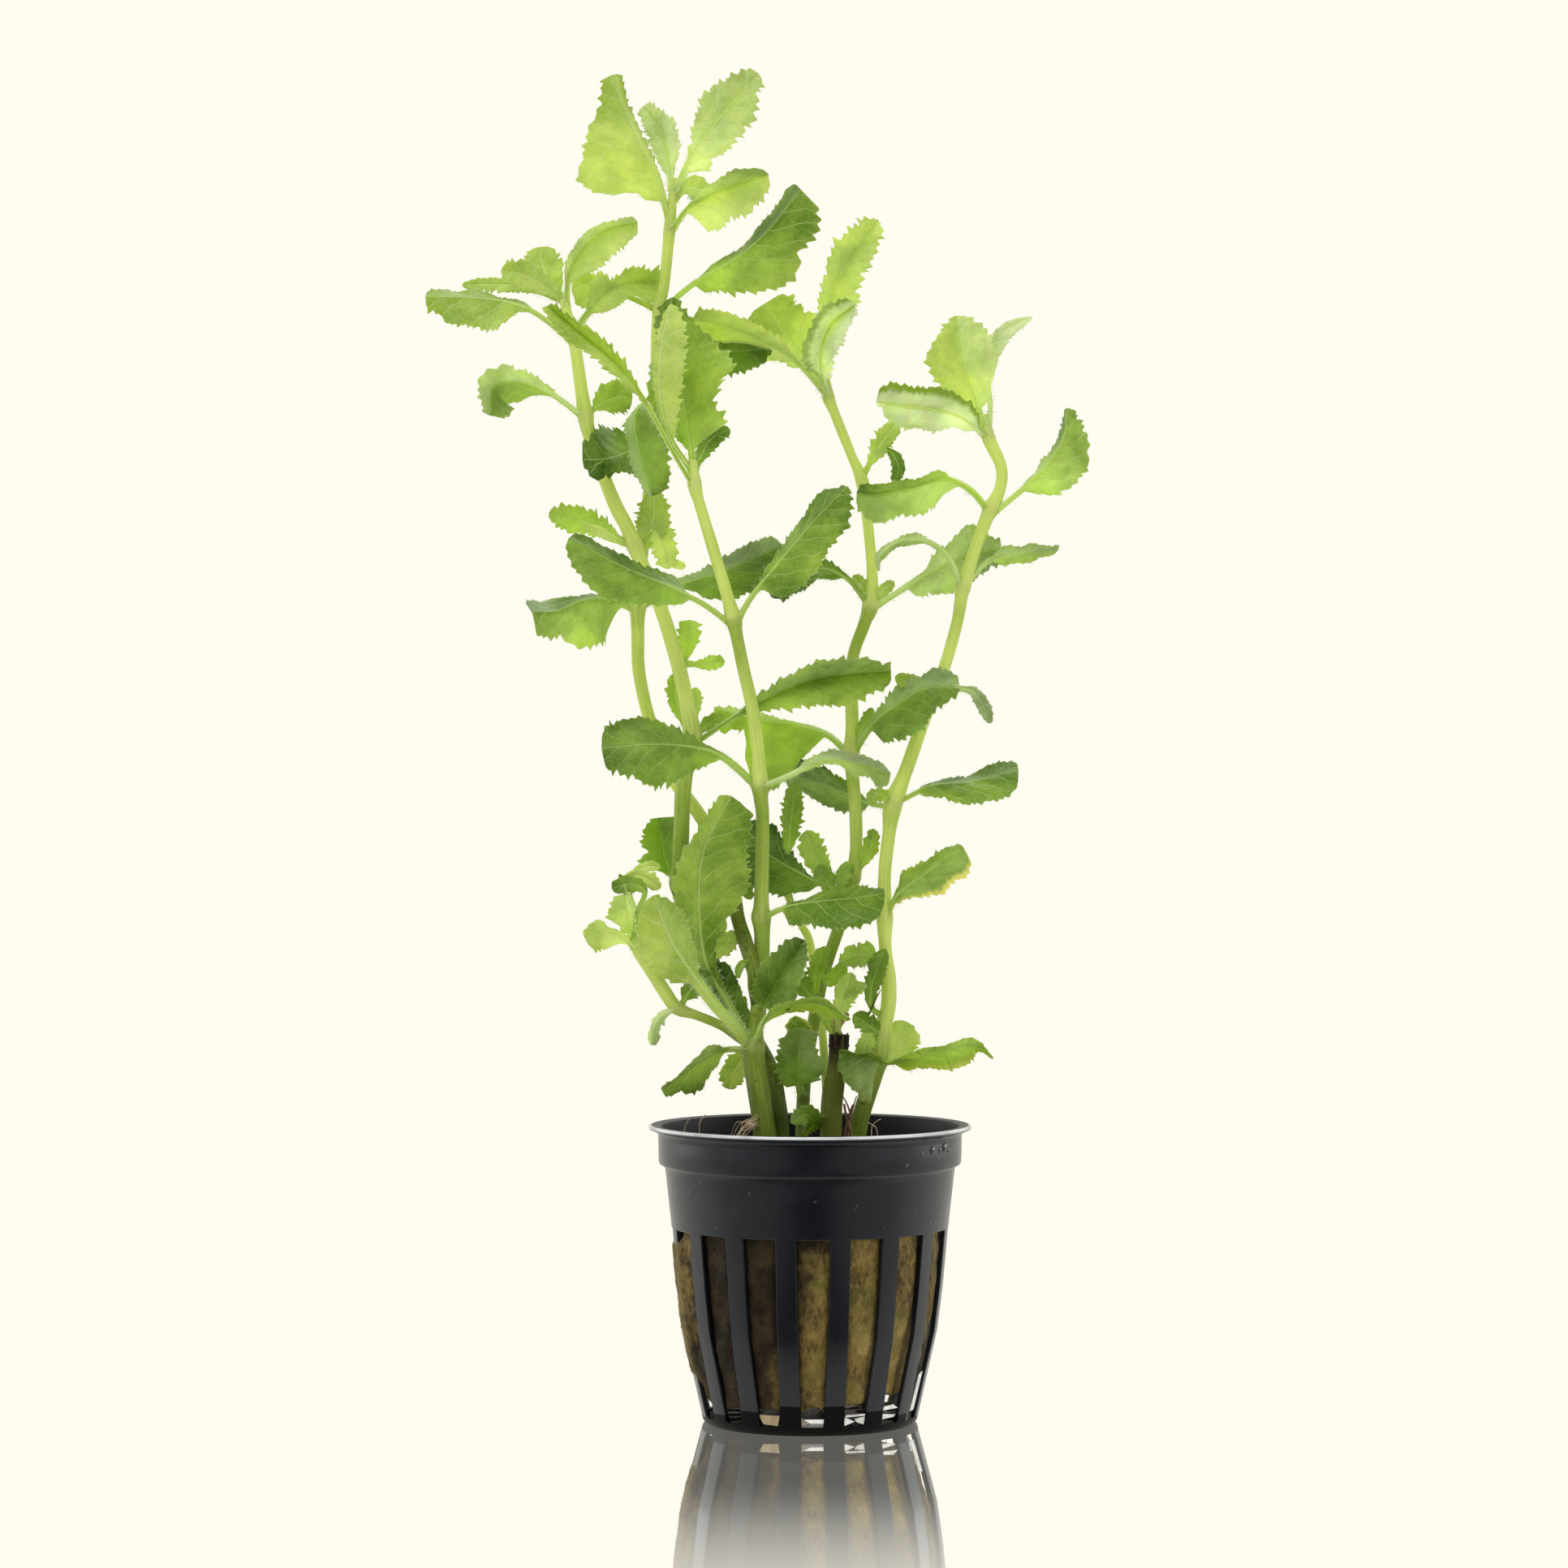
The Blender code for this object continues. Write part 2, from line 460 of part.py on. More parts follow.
leaf("leaf_c_111_left", DARK_LEAF, STEM_C, [(-9, 111.8, -3.7), (-15, 116.3, -5.5), (-20, 118, -7),
     (-28, 118.6, -8.5), (-37, 117.8, -9)], (7.8, 20), (6.5, -38), petiole=0.27, wide=0.6, blunt=0.35)
leaf("leaf_c_111_right", MID_LEAF, STEM_C, [(-8.6, 111.4, -3.7), (-3, 113.4, -8), (2.5, 116.2, -11),
     (8, 115.6, -14), (14.5, 113.4, -16)], (4.5, 75), (5, -58), petiole=0.3, wide=0.6)
leaf("leaf_c_88_right", MID_LEAF, STEM_C, [(-8.2, 88.5, -1.2), (-4.5, 90, -4.5), (2, 91, -7.5),
     (8, 91.6, -9.5), (13.5, 92.5, -10.5)], (6, -68), (6.5, 45), petiole=0.2, wide=0.6, blunt=0.33)
leaf("leaf_c_66_tall", MID_LEAF, STEM_C, [(-10.6, 66.6, -4.5), (-14.5, 73.5, -4.6), (-18.2, 80.5, -4.6),
     (-19.3, 91, -5), (-17.5, 100.5, -6), (-11.4, 110.4, -6.5)], (7, -38), (9.6, 8), petiole=0.2, wide=0.6)
leaf("leaf_c_66_left", YOUNG_LEAF, STEM_C, [(-10.4, 66.3, -6.2), (-13.1, 69.3, -9),
     (-16.3, 72.7, -10.4), (-20, 77.5, -11.8), (-23.5, 82.5, -13), (-25.8, 87.5, -14),
     (-27.5, 92.7, -14.5)], (6, 20), (5.5, -45), petiole=0.38, wide=0.6, blunt=0.33, stalk=1.2)
leaf("leaf_c_66_arching", MID_LEAF, STEM_C, [(-9.7, 66.2, -6), (-7.4, 70.8, -10), (-2.5, 73.3, -12.5),
     (2.5, 73, -13.5), (7.4, 70.2, -14)], (4.5, 80), (5.5, -65), petiole=0.2, wide=0.55, blunt=0.6)
leaf("leaf_c_65_low", MID_LEAF, STEM_C, [(-10.4, 65.3, -6), (-15.5, 64.9, -8.5), (-20, 62.4, -10.5),
     (-26.3, 57.9, -12)], (5.5, -50), (5, 75), petiole=0.25, wide=0.6, blunt=0.33)
leaf("leaf_c_72_right", DARK_LEAF, STEM_C, [(-9, 72.2, -2.6), (-6.6, 75.5, -6), (-4.4, 79.5, -8.5),
     (-0.9, 84.6, -9.5)], (5.5, 40), (5, 50), petiole=0.12, wide=0.55)
leaf("leaf_shoot_hooked", MID_LEAF, SIDE_SHOOT, [(-23.2, 72.4, -7.2), (-25.8, 71.2, -8), (-27.5, 68.8, -8.5),
     (-27.9, 65.8, -9)], (3.5, -70), (3.2, 70), petiole=0.1, wide=0.6)
leaf("leaf_shoot_left", YOUNG_LEAF, SIDE_SHOOT, [(-29.9, 81.8, -8.2), (-33, 85.1, -9.4), (-36.5, 86.3, -10),
     (-39.9, 85.1, -10.5)], (4, -42), (3.2, 72), petiole=0.2, wide=0.6)
leaf("leaf_shoot_up", YOUNG_LEAF, SIDE_SHOOT, [(-30.6, 83.6, -7.6), (-31.6, 87.5, -7.4), (-32.6, 92.5, -6.5)],
     (3, 30), (3, 30), petiole=0.12, wide=0.6)

# Leaves of stem D
leaf("leaf_d_crown_up", YOUNG_LEAF, STEM_D, [(2.8, 181.2, 4), (2.3, 188, 7), (3.2, 196, 8.5), (7, 203.5, 8.5),
     (12.3, 211, 7.5)], (4.4, 30), (5.2, 30), petiole=0.3, wide=0.58, blunt=0.45)
leaf("leaf_d_crown_front", YOUNG_LEAF, STEM_D, [(3, 180.2, 4), (1.9, 184.5, 0.5), (2.3, 189, -3),
     (4.2, 192.8, -5), (8.3, 195.9, -6)], (5, 58), (5.4, 52), petiole=0.18, wide=0.6)
leaf("leaf_d_crown_back", YOUNG_LEAF, STEM_D, [(2.8, 181.4, 4), (-1.2, 186.5, 4.2), (-5, 191.5, 5),
     (-8, 196.2, 6)], (5.5, 15), (7, 15), petiole=0.28, wide=0.62, blunt=0.33)
leaf("leaf_d_crown_left", YOUNG_LEAF, STEM_D, [(2.9, 180.6, 4), (-2.5, 185.9, 1.5), (-8, 189.3, -0.5),
     (-14, 191.7, -1.5), (-21, 193.3, -2)], (5.5, -58), (5, 65), petiole=0.28, wide=0.6)
leaf("leaf_d_143_left", DARK_LEAF, STEM_D, [(10.4, 143.3, 4), (6.8, 147.5, 2), (2.5, 149.7, 0),
     (-3, 148.3, -1.5), (-7.6, 145.4, -2.5)], (5.5, -62), (5, 50), petiole=0.3, wide=0.6)
leaf("leaf_d_143_right", MID_LEAF, STEM_D, [(11.1, 143, 4), (16, 145.7, 6), (21, 149, 7.5),
     (27, 151.7, 8.5), (34, 153.3, 9)], (6, 48), (6, -48), petiole=0.28, wide=0.6)
leaf("leaf_d_117_left", MID_LEAF, STEM_D, [(6.9, 117.6, 4), (3, 120.5, 5.5), (-3, 122.3, 6.5),
     (-9, 123, 6.5), (-17.2, 125.2, 5.5)], (9.5, -15), (4, 75), petiole=0.2, wide=0.5, blunt=0.5)
leaf("leaf_d_117_right", DARK_LEAF, STEM_D, [(7.7, 117.4, 4), (10.8, 121.8, 0.5), (15.5, 125.6, -2.5),
     (20.5, 128.4, -4.3), (26.6, 128.4, -5)], (3.4, -35), (6.5, 42), petiole=0.22, wide=0.55, blunt=0.35)
leaf("leaf_d_95_left", DARK_LEAF, STEM_D, [(7.3, 95, 4.5), (2.4, 94.2, 7), (-3.2, 96.7, 8), (-8.5, 99.9, 8.5),
     (-14.5, 103.5, 9.5)], (6, 35), (5.8, -40), petiole=0.25, wide=0.6)
leaf("leaf_d_57_front", DARK_LEAF, STEM_D, [(-1.3, 56.8, 3.4), (-2, 60, 0), (-2, 64, -3), (-1.5, 69.3, -5)],
     (5, 20), (5, 20), petiole=0.25, wide=0.5)

# Leaves of stem E
leaf("leaf_e_crown_up", YOUNG_LEAF, STEM_E, [(31, 173.4, 0), (28.8, 179.5, -2), (26.4, 186, -3),
     (25.6, 194.2, -3.5)], (6.5, 25), (5.5, 30), petiole=0.22, wide=0.6, blunt=0.35)
leaf("leaf_e_crown_left", YOUNG_LEAF, STEM_E, [(31.2, 172.5, 0), (27.2, 175.8, -2.5), (22, 177.5, -3.5),
     (16, 178.2, -4), (11.3, 178.8, -4)], (6, -50), (5.5, 55), petiole=0.12, wide=0.55, blunt=0.33)
leaf("leaf_e_159_left", MID_LEAF, STEM_E, [(31.3, 160, 0), (28, 163.4, -2), (23.5, 165.2, -3.5),
     (18, 163.8, -4.5), (12, 162.6, -5), (7.8, 163, -5)], (6, -40), (5, 80),
     petiole=0.27, wide=0.55, blunt=0.35)
leaf("leaf_e_159_right", MID_LEAF, STEM_E, [(31.6, 159.2, 0), (37.3, 163.6, -1.5), (41.5, 167.5, -2.5),
     (44.5, 172.3, -3), (45.3, 178, -3.5)], (5, -72), (6, 25), petiole=0.27, wide=0.5, blunt=0.6)
leaf("leaf_e_145_left", MID_LEAF, STEM_E, [(26.5, 145.8, 0), (24.4, 151, -2.5), (20.5, 154.2, -4),
     (15.5, 154.2, -5), (12.2, 151.7, -5.5), (12, 148.8, -6)], (4.5, -78), (4.5, 76), petiole=0.3, wide=0.6)
leaf("leaf_e_145_right", MID_LEAF, STEM_E, [(26.8, 146, 0), (30.5, 150, 0.6), (35, 152.1, 1.5),
     (43.8, 152.8, 3)], (4.5, 76), (4.5, -76), petiole=0.3, wide=0.6)
leaf("leaf_e_108_left", DARK_LEAF, STEM_E, [(14.3, 107.6, 0.6), (11, 108.2, 6), (7.5, 109.8, 10.5),
     (0.3, 112.4, 13.5), (-8, 114.3, 14.5)], (6, -58), (5.5, 62), petiole=0.25, wide=0.6)
leaf("leaf_e_108_right", MID_LEAF, STEM_E, [(15, 108.8, 0.5), (21, 111.2, -0.5), (28, 112, -2),
     (36.9, 114.2, -3.5)], (5.5, -72), (6, 58), petiole=0.2, wide=0.65, blunt=0.35)
leaf("leaf_e_88_right", MID_LEAF, STEM_E, [(13.3, 88.6, 0), (15.3, 92, -2.2), (20.5, 96, -3.5),
     (27, 101, -4)], (5.5, -62), (6, 45), petiole=0.18, wide=0.6, blunt=0.35)
leaf("leaf_e_62_right", MID_LEAF, STEM_E, [(12, 62.6, -0.5), (17.5, 63.4, -4), (23.5, 65.2, -5.5),
     (29, 66, -6.5), (32.4, 63.3, -7)], (5, 78), (5.5, -58), petiole=0.12, wide=0.45, blunt=0.7)
leaf("leaf_e_62_front", MID_LEAF, STEM_E, [(12.2, 66, -0.8), (11.6, 65, -3.6), (10.9, 63.3, -6),
     (10.2, 60.3, -8.2), (9.3, 56.7, -9.6)], (4.5, 15), (4.8, 15), petiole=0.1, wide=0.5, blunt=0.35)
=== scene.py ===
"""Looks of the water wisteria in its net pot: leaves, stems, rockwool, pot, roots, light and camera.

Sizes are in millimetres and become metres as each mesh is made. Materials work in metres.
"""
import math
import random

import bpy
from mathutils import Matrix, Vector, noise


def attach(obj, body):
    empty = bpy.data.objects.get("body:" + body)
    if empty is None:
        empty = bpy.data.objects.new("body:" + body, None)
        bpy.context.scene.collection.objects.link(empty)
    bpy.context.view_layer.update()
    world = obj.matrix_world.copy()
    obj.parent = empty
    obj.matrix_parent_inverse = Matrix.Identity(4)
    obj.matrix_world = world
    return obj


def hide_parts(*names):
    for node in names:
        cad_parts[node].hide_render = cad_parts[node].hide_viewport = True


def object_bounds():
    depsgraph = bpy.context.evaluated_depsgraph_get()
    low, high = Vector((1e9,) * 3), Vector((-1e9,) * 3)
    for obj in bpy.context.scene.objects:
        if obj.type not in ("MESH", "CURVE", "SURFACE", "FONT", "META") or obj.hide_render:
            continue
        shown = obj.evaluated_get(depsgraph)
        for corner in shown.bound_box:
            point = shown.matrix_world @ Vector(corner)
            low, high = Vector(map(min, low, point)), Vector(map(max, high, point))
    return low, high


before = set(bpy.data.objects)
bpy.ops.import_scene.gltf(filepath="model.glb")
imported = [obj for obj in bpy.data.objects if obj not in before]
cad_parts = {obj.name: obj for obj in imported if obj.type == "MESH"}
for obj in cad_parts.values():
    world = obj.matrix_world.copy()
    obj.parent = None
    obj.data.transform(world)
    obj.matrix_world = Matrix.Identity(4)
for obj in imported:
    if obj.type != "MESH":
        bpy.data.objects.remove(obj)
CAD_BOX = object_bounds()
MM = 0.001
SEED = 11
TURN = 2 * math.pi

# The plant's points are read from its front, as seen from an eye this far before the pot's axis
EYE_DISTANCE = 770.0
EYE_HEIGHT = 111.7
EYE_ACROSS = -4.55
FRONT = Vector((0.0, 1.0, 0.0))
UP = Vector((0.0, 0.0, 1.0))
LENS = 100.8
SENSOR = 36.0
IVORY = (1.0, 0.974, 0.871)


def seen(across, up, depth):
    """The point at this depth behind the pot's axis that the eye sees at (across, up) on the axis's plane."""
    reach = (EYE_DISTANCE + depth) / EYE_DISTANCE
    return Vector((EYE_ACROSS + (across - EYE_ACROSS) * reach, depth, EYE_HEIGHT + (up - EYE_HEIGHT) * reach))


def blend(a, b, share):
    return a + (b - a) * share


def ease(low, high, value):
    """0 below low, 1 above high, smooth between."""
    t = min(max((value - low) / (high - low), 0.0), 1.0)
    return t * t * (3 - 2 * t)


def catmull(p0, p1, p2, p3, t):
    """A point of the smooth curve between p1 and p2."""
    return 0.5 * (2 * p1 + (p2 - p0) * t + (2 * p0 - 5 * p1 + 4 * p2 - p3) * t * t
                  + (3 * p1 - p0 - 3 * p2 + p3) * t * t * t)


class Route:
    """A smooth curve through points, read by the share of its length, with a value that follows it."""

    SPAN_STEPS = 12
    REACH = 0.02

    def __init__(self, points, values=None):
        values = values or [0.0] * len(points)
        ends = [points[0] * 2 - points[1]] + list(points) + [points[-1] * 2 - points[-2]]
        self.points = [points[0].copy()]
        self.values = [values[0]]
        for i in range(len(points) - 1):
            for k in range(1, self.SPAN_STEPS + 1):
                t = k / self.SPAN_STEPS
                self.points.append(catmull(*ends[i:i + 4], t))
                self.values.append(blend(values[i], values[i + 1], ease(0, 1, t)))
        self.lengths = [0.0]
        for a, b in zip(self.points, self.points[1:]):
            self.lengths.append(self.lengths[-1] + (b - a).length)
        self.length = self.lengths[-1]

    def read(self, items, share):
        """The item at this share of the length."""
        wanted = min(max(share, 0.0), 1.0) * self.length
        low, high = 0, len(self.lengths) - 2
        while low < high:
            middle = (low + high + 1) // 2
            if self.lengths[middle] <= wanted:
                low = middle
            else:
                high = middle - 1
        t = (wanted - self.lengths[low]) / (self.lengths[low + 1] - self.lengths[low])
        return blend(items[low], items[low + 1], t)

    def point(self, share):
        return self.read(self.points, share)

    def value(self, share):
        return self.read(self.values, share)

    def direction(self, share):
        return (self.point(share + self.REACH) - self.point(share - self.REACH)).normalized()


def shown(name, data):
    """A new object in the scene."""
    made = bpy.data.objects.new(name, data)
    bpy.context.scene.collection.objects.link(made)
    return made


class Piece:
    """Points, faces and four UV places for each point, which become one mesh object."""

    LAYERS = ("blade", "size", "tone", "frost")

    def __init__(self):
        self.points = []
        self.places = []
        self.faces = []
        self.nodes = set()

    def add(self, point, blade=(0.0, 0.0), size=(0.0, 0.0), tone=(0.0, 0.0), frost=(0.0, 0.0)):
        self.points.append(point)
        self.places.append((blade, size, tone, frost))
        return len(self.points) - 1

    def tube(self, start, rings, sides):
        """Faces between rings of points, the first of which begins at start."""
        for a in range(start, start + (rings - 1) * sides, sides):
            for s in range(sides):
                after = (s + 1) % sides
                self.faces.append((a + s, a + after, a + sides + after, a + sides + s))

    def close(self, low, top, end, sides):
        """Fans from the point low to the first ring, and from the point top to the ring that begins at end."""
        for s in range(sides):
            after = (s + 1) % sides
            self.faces += [(low, after, s), (top, end + s, end + after)]

    def build(self, name, finish, slot, smooth_angle=50):
        low, high = CAD_BOX
        mesh = bpy.data.meshes.new(name)
        mesh.from_pydata([[min(max(c * MM, a), b) for c, a, b in zip(p, low, high)] for p in self.points],
                         [], self.faces)
        mesh.materials.append(finish)
        corners = [0] * len(mesh.loops)
        mesh.loops.foreach_get("vertex_index", corners)
        for i, layer in enumerate(self.LAYERS):
            places = mesh.uv_layers.new(name=layer)
            places.data.foreach_set("uv", [q for c in corners for q in self.places[c][i]])
        mesh.update()
        mesh.shade_smooth()
        mesh.set_sharp_from_angle(angle=math.radians(smooth_angle))
        made = shown(name, mesh)
        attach(made, "root")
        if self.nodes:
            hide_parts(*sorted(self.nodes))
        return made


# Materials


class Value:
    """A node's output, which can be added to, multiplied and so on. Each sum is a math node."""

    def __init__(self, nodes, socket):
        self.nodes = nodes
        self.socket = socket

    def __add__(self, other):
        return self.nodes.math("ADD", self, other)

    def __sub__(self, other):
        return self.nodes.math("SUBTRACT", self, other)

    def __mul__(self, other):
        return self.nodes.math("MULTIPLY", self, other)

    def __truediv__(self, other):
        return self.nodes.math("DIVIDE", self, other)

    def __abs__(self):
        return self.nodes.math("ABSOLUTE", self)

    def scaled(self, gain, offset):
        return self.nodes.math("MULTIPLY_ADD", self, gain, offset)


class Nodes:
    """Short calls that add nodes to a material or world and give back an output."""

    def __init__(self, name, kind=bpy.data.materials):
        self.made = kind.new(name)
        self.made.use_nodes = True
        self.tree = self.made.node_tree
        self.tree.nodes.clear()

    def add(self, kind, inputs=(), out=0, **settings):
        """A node with these settings, and inputs in their order or by name. A colour gets its alpha."""
        node = self.tree.nodes.new("ShaderNode" + kind)
        for key, value in settings.items():
            setattr(node, key, value)
        for key, value in inputs.items() if isinstance(inputs, dict) else enumerate(inputs):
            if isinstance(value, Value):
                self.tree.links.new(value.socket, node.inputs[key])
            elif value is not None:
                node.inputs[key].default_value = (*value, 1.0) if node.inputs[key].type == "RGBA" else value
        return Value(self, node.outputs[out]) if node.outputs else None

    def math(self, operation, a, b=0.0, c=0.0, clamp=False):
        return self.add("Math", (a, b, c), operation=operation, use_clamp=clamp)

    def where(self, scale=None):
        """The object's own coordinates, scaled along each axis."""
        place = self.add("TexCoord", out="Object")
        return self.add("Mapping", {"Vector": place, "Scale": scale}) if scale else place

    def split(self, vector):
        """A vector's three numbers."""
        return [self.add("SeparateXYZ", (vector,), out=k) for k in range(3)]

    def place(self, layer):
        """Both numbers of a UV layer."""
        return self.split(self.add("UVMap", uv_map=layer))[:2]

    def noise(self, scale, detail=3.0, rough=0.5, vector=None):
        return self.add("TexNoise", {"Vector": vector or self.where(), "Scale": scale, "Detail": detail,
                                     "Roughness": rough})

    def range(self, value, low, high, to_low=0.0, to_high=1.0):
        """Value from low..high to to_low..to_high, smooth and clamped."""
        return self.add("MapRange", (value, low, high, to_low, to_high), interpolation_type="SMOOTHSTEP")

    def mix(self, share, a, b, kind="MIX"):
        return self.add("Mix", {0: share, 6: a, 7: b}, out=2, data_type="RGBA", blend_type=kind)

    def over(self, colour, *layers):
        """The colour under layers, each of which has its share and its own colour."""
        for share, other in layers:
            colour = self.mix(share, colour, other)
        return colour

    def bump(self, *layers):
        """A normal from layers of height, distance in millimetres and strength."""
        normal = None
        for height, distance, strength in layers:
            normal = self.add("Bump", {"Strength": strength, "Distance": distance * MM, "Height": height,
                                       "Normal": normal})
        return normal

    def finish(self, colour, roughness, normal=None, specular=0.5, through=None, share=0.0, tint=None):
        """The finished material. through is the colour of the share of light that passes it."""
        surface = self.add("BsdfPrincipled", {"Base Color": colour, "Roughness": roughness, "Normal": normal,
                                              "Specular IOR Level": specular, "Specular Tint": tint})
        if through is not None:
            surface = self.add("MixShader", (share, surface, self.add("BsdfTranslucent", (through, normal))))
        self.add("OutputMaterial", (surface,))
        return self.made


def leaf_material(name, light, deep, vein, vein_share):
    """Blade tissue: pale midrib and side veins, puckered between them, with yellow margins and brown specks."""
    n = Nodes(name)
    across, along = n.place("blade")
    wide, reach = n.place("size")
    tone, wear = n.place("tone")
    side, off = abs(across), abs(wide)
    wander = (n.noise(260, 2) - 0.5) * 3.2
    rows = (reach - off * 1.05 + n.math("SIGN", across) * 0.9 + wander) / 3.7
    near = abs(n.math("FRACT", rows) - 0.5)
    lateral = n.range(near, 0.012, side.scaled(-0.02, 0.06), 1.0, 0.0)
    lateral = lateral * n.range(side, 0.7, 1.0, 1.0, 0.1) * n.range(along, 0.0, 0.12)
    rib_width = along.scaled(-0.3, 0.48)
    midrib = n.range(off, rib_width * 0.35, rib_width, 1.0, 0.0)
    veins = n.math("MAXIMUM", midrib, lateral)
    cells = n.add("TexVoronoi", {"Vector": n.where(), "Scale": 850}, feature="DISTANCE_TO_EDGE")
    net = n.range(cells, 0.0, 0.1, 1.0, 0.0)
    soft, fine = n.noise(75), n.noise(1500, 3, 0.6)
    patch = n.range(n.noise(210, 4, 0.6), 0.38, 0.62, -0.5, 0.5)
    shade = tone + n.range(soft, 0.36, 0.64, -0.17, 0.17) + patch * 0.22 + (fine - 0.5) * 0.25
    shade = n.math("ADD", shade, n.range(along, 0.05, 0.95, -0.14, 0.12), clamp=True)
    colour = n.mix(shade, light, deep)
    warm = n.range(n.noise(130, 3, 0.6), 0.45, 0.7) * 0.5
    petiole = n.math("MAXIMUM", n.range(along, -0.02, 0.1, 1.0, 0.0), midrib * n.range(along, 0.0, 0.55, 1.0, 0.0))
    colour = n.over(colour, (warm, n.mix(1.0, colour, (1.16, 1.1, 0.75), "MULTIPLY")),
                    (n.math("MAXIMUM", veins * vein_share, net * (vein_share * 0.22)), vein),
                    (petiole * 0.6, (0.60, 0.72, 0.20)))
    grey = n.add("SeparateColor", (colour,), out="Green")
    pale_sheen_colour = n.add("CombineColor", [grey * gain for gain in (1.1, 1.17, 0.98)])
    # A paler, greyer colour over the downy side, which also stands in for a painted sheen.
    frost = n.place("frost")[0] * n.range(n.noise(170, 3, 0.6), 0.3, 0.6, 0.6, 1.0)
    edge = side + (n.noise(260) - 0.5) * 0.7
    yellow = n.range(edge, 0.66, 0.92) * n.range(wear, 0.1, 0.7)
    speck = n.range(n.noise(900, 2, 0.7), wear.scaled(-0.1, 0.76), 0.8) * n.range(n.noise(120, 2), 0.48, 0.6)
    # The last layer is a painted rim light: the very edge of the blade is paler.
    colour = n.over(colour, (frost, pale_sheen_colour), (yellow, (0.74, 0.70, 0.20)), (speck * 0.8, (0.10, 0.045, 0.012)),
                    (n.range(side, 0.95, 1.0, 0.0, 0.35), (0.66, 0.72, 0.30)))
    cushion = n.range(near, 0.0, 0.5) * n.range(side, 0.75, 1.0, 1.0, 0.3)
    lift = n.math("MAXIMUM", lateral * 0.7, midrib).scaled(-1.0, cushion * 0.45)
    lift = lift + n.range(cells, 0.0, 0.35) * 0.16
    normal = n.bump((lift, 0.32, 0.6), (soft, 2.5, 0.5), (fine, 0.06, 0.5))
    glow = n.mix(1.0, colour, (1.3, 1.38, 0.8), "MULTIPLY")
    return n.finish(colour, soft.scaled(0.25, 0.3), normal, 0.24, glow, 0.38)


def stem_material(name, young, grown, old, scar):
    """Stem tissue from its youngest colour to its oldest: lengthwise streaks, with dark flecks where it is old."""
    n = Nodes(name)
    around, along = n.place("blade")
    tone, knot = n.place("tone")
    turn = around * math.tau
    streak = n.add("CombineXYZ", (n.math("COSINE", turn) * 3.0, n.math("SINE", turn) * 3.0, along * 0.09))
    lines = n.noise(1.6, 4, 0.6, streak)
    patch, fine = n.noise(110), n.noise(1800, 3, 0.6)
    shade = tone + (patch - 0.5) * 0.5 + (lines - 0.5) * 0.7
    speck = n.range(n.noise(1100, 2), 0.64, 0.72) * n.range(shade, 0.2, 0.7)
    colour = n.over(young, (n.range(shade, 0.0, 0.55), grown), (n.range(shade, 0.5, 1.05), old),
                    (n.range(lines, 0.55, 0.75) * 0.35, (0.72, 0.80, 0.36)), (knot * 0.4, scar),
                    (speck * 0.7, (0.06, 0.03, 0.008)))
    glow = n.mix(1.0, colour, (1.4, 1.38, 0.7), "MULTIPLY")
    return n.finish(colour, patch.scaled(0.2, 0.38), n.bump((lines, 0.35, 0.5), (fine, 0.06, 0.5)), 0.2, glow, 0.28)


def pot_material():
    """Moulded black plastic with fine scratches, a little dust, dried water marks and a painted highlight along the
    front of the rim.
    """
    n = Nodes("pot_black_plastic")
    scratches = n.noise(900, 4, 0.7, n.where((1.0, 1.0, 0.22)))
    dust = n.range(n.noise(95, 4, 0.6), 0.5, 0.75)
    _, depth, height = n.split(n.where())
    rim = n.range(height, 0.05145, 0.0516)
    # A painted highlight: the top of the rim is pale, most of all at the front.
    painted_rim_highlight = rim * n.range(depth, -0.012, 0.004, 1.0, 0.1) * n.range(n.noise(160), 0.3, 0.6, 0.6, 1.0)
    colour = n.over((0.0014, 0.0026, 0.0058), (dust * 0.3, (0.009, 0.012, 0.018)),
                    (n.range(scratches, 0.68, 0.76) * 0.4, (0.07, 0.072, 0.078)), (painted_rim_highlight, (0.68, 0.70, 0.74)))
    roughness = (dust + scratches).scaled(0.1, 0.24) * rim.scaled(-0.5, 1.0)
    normal = n.bump((n.noise(2600, 2), 0.02, 0.6), (scratches, 0.03, 0.5))
    return n.finish(colour, roughness, normal, 0.48, tint=(0.86, 0.91, 1.0))


def fibre_material(name, light, dark, green, share):
    """Wet mineral fibre in soft upright wisps: green with algae, soaked dark at its left, with painted light low at
    its right, where the plug is slack.
    """
    n = Nodes(name)
    wisp = n.noise(1500, 4, 0.7, n.where((1.0, 1.0, 0.4)))
    clump = n.noise(260, 3, 0.55)
    across, depth, height = n.split(n.where())
    ragged = (n.noise(230, 3, 0.6) - 0.5).scaled(0.012, across)
    leaning = ragged + height.scaled(-0.3, 0.0082)
    soaked = n.range(ragged, -0.0225, -0.0185) * n.range(leaning, -0.003, 0.004, 1.0, 0.0)
    soaked = soaked * n.range(depth, -0.008, -0.004, 1.0, 0.0) * n.range(clump, 0.38, 0.62, 1.0, 0.9)
    # Painted light low on the right, where the slack plug sits back in the pot.
    painted_light_low_right = n.range(ragged, 0.007, 0.012) * n.range(height, 0.024, 0.014)
    shade = clump * 0.4 + n.noise(60, 2) * 0.3 + wisp * 0.3
    colour = n.over(dark, (n.range(shade, 0.36, 0.58), light),
                    (n.range(n.noise(110, 3, 0.6), 0.5, 0.66) * share, green),
                    (n.range(wisp, 0.53, 0.64, 0.0, 0.35), (0.30, 0.23, 0.08)),
                    (n.range(wisp, 0.34, 0.46, 0.4, 0.0), (0.035, 0.020, 0.008)), (soaked, (0.017, 0.010, 0.005)),
                    (painted_light_low_right * n.range(clump, 0.4, 0.6, 0.85, 0.2), (0.46, 0.33, 0.12)))
    return n.finish(colour, 0.6, n.bump((clump, 1.6, 0.8), (wisp, 0.6, 1.0)), 0.15)


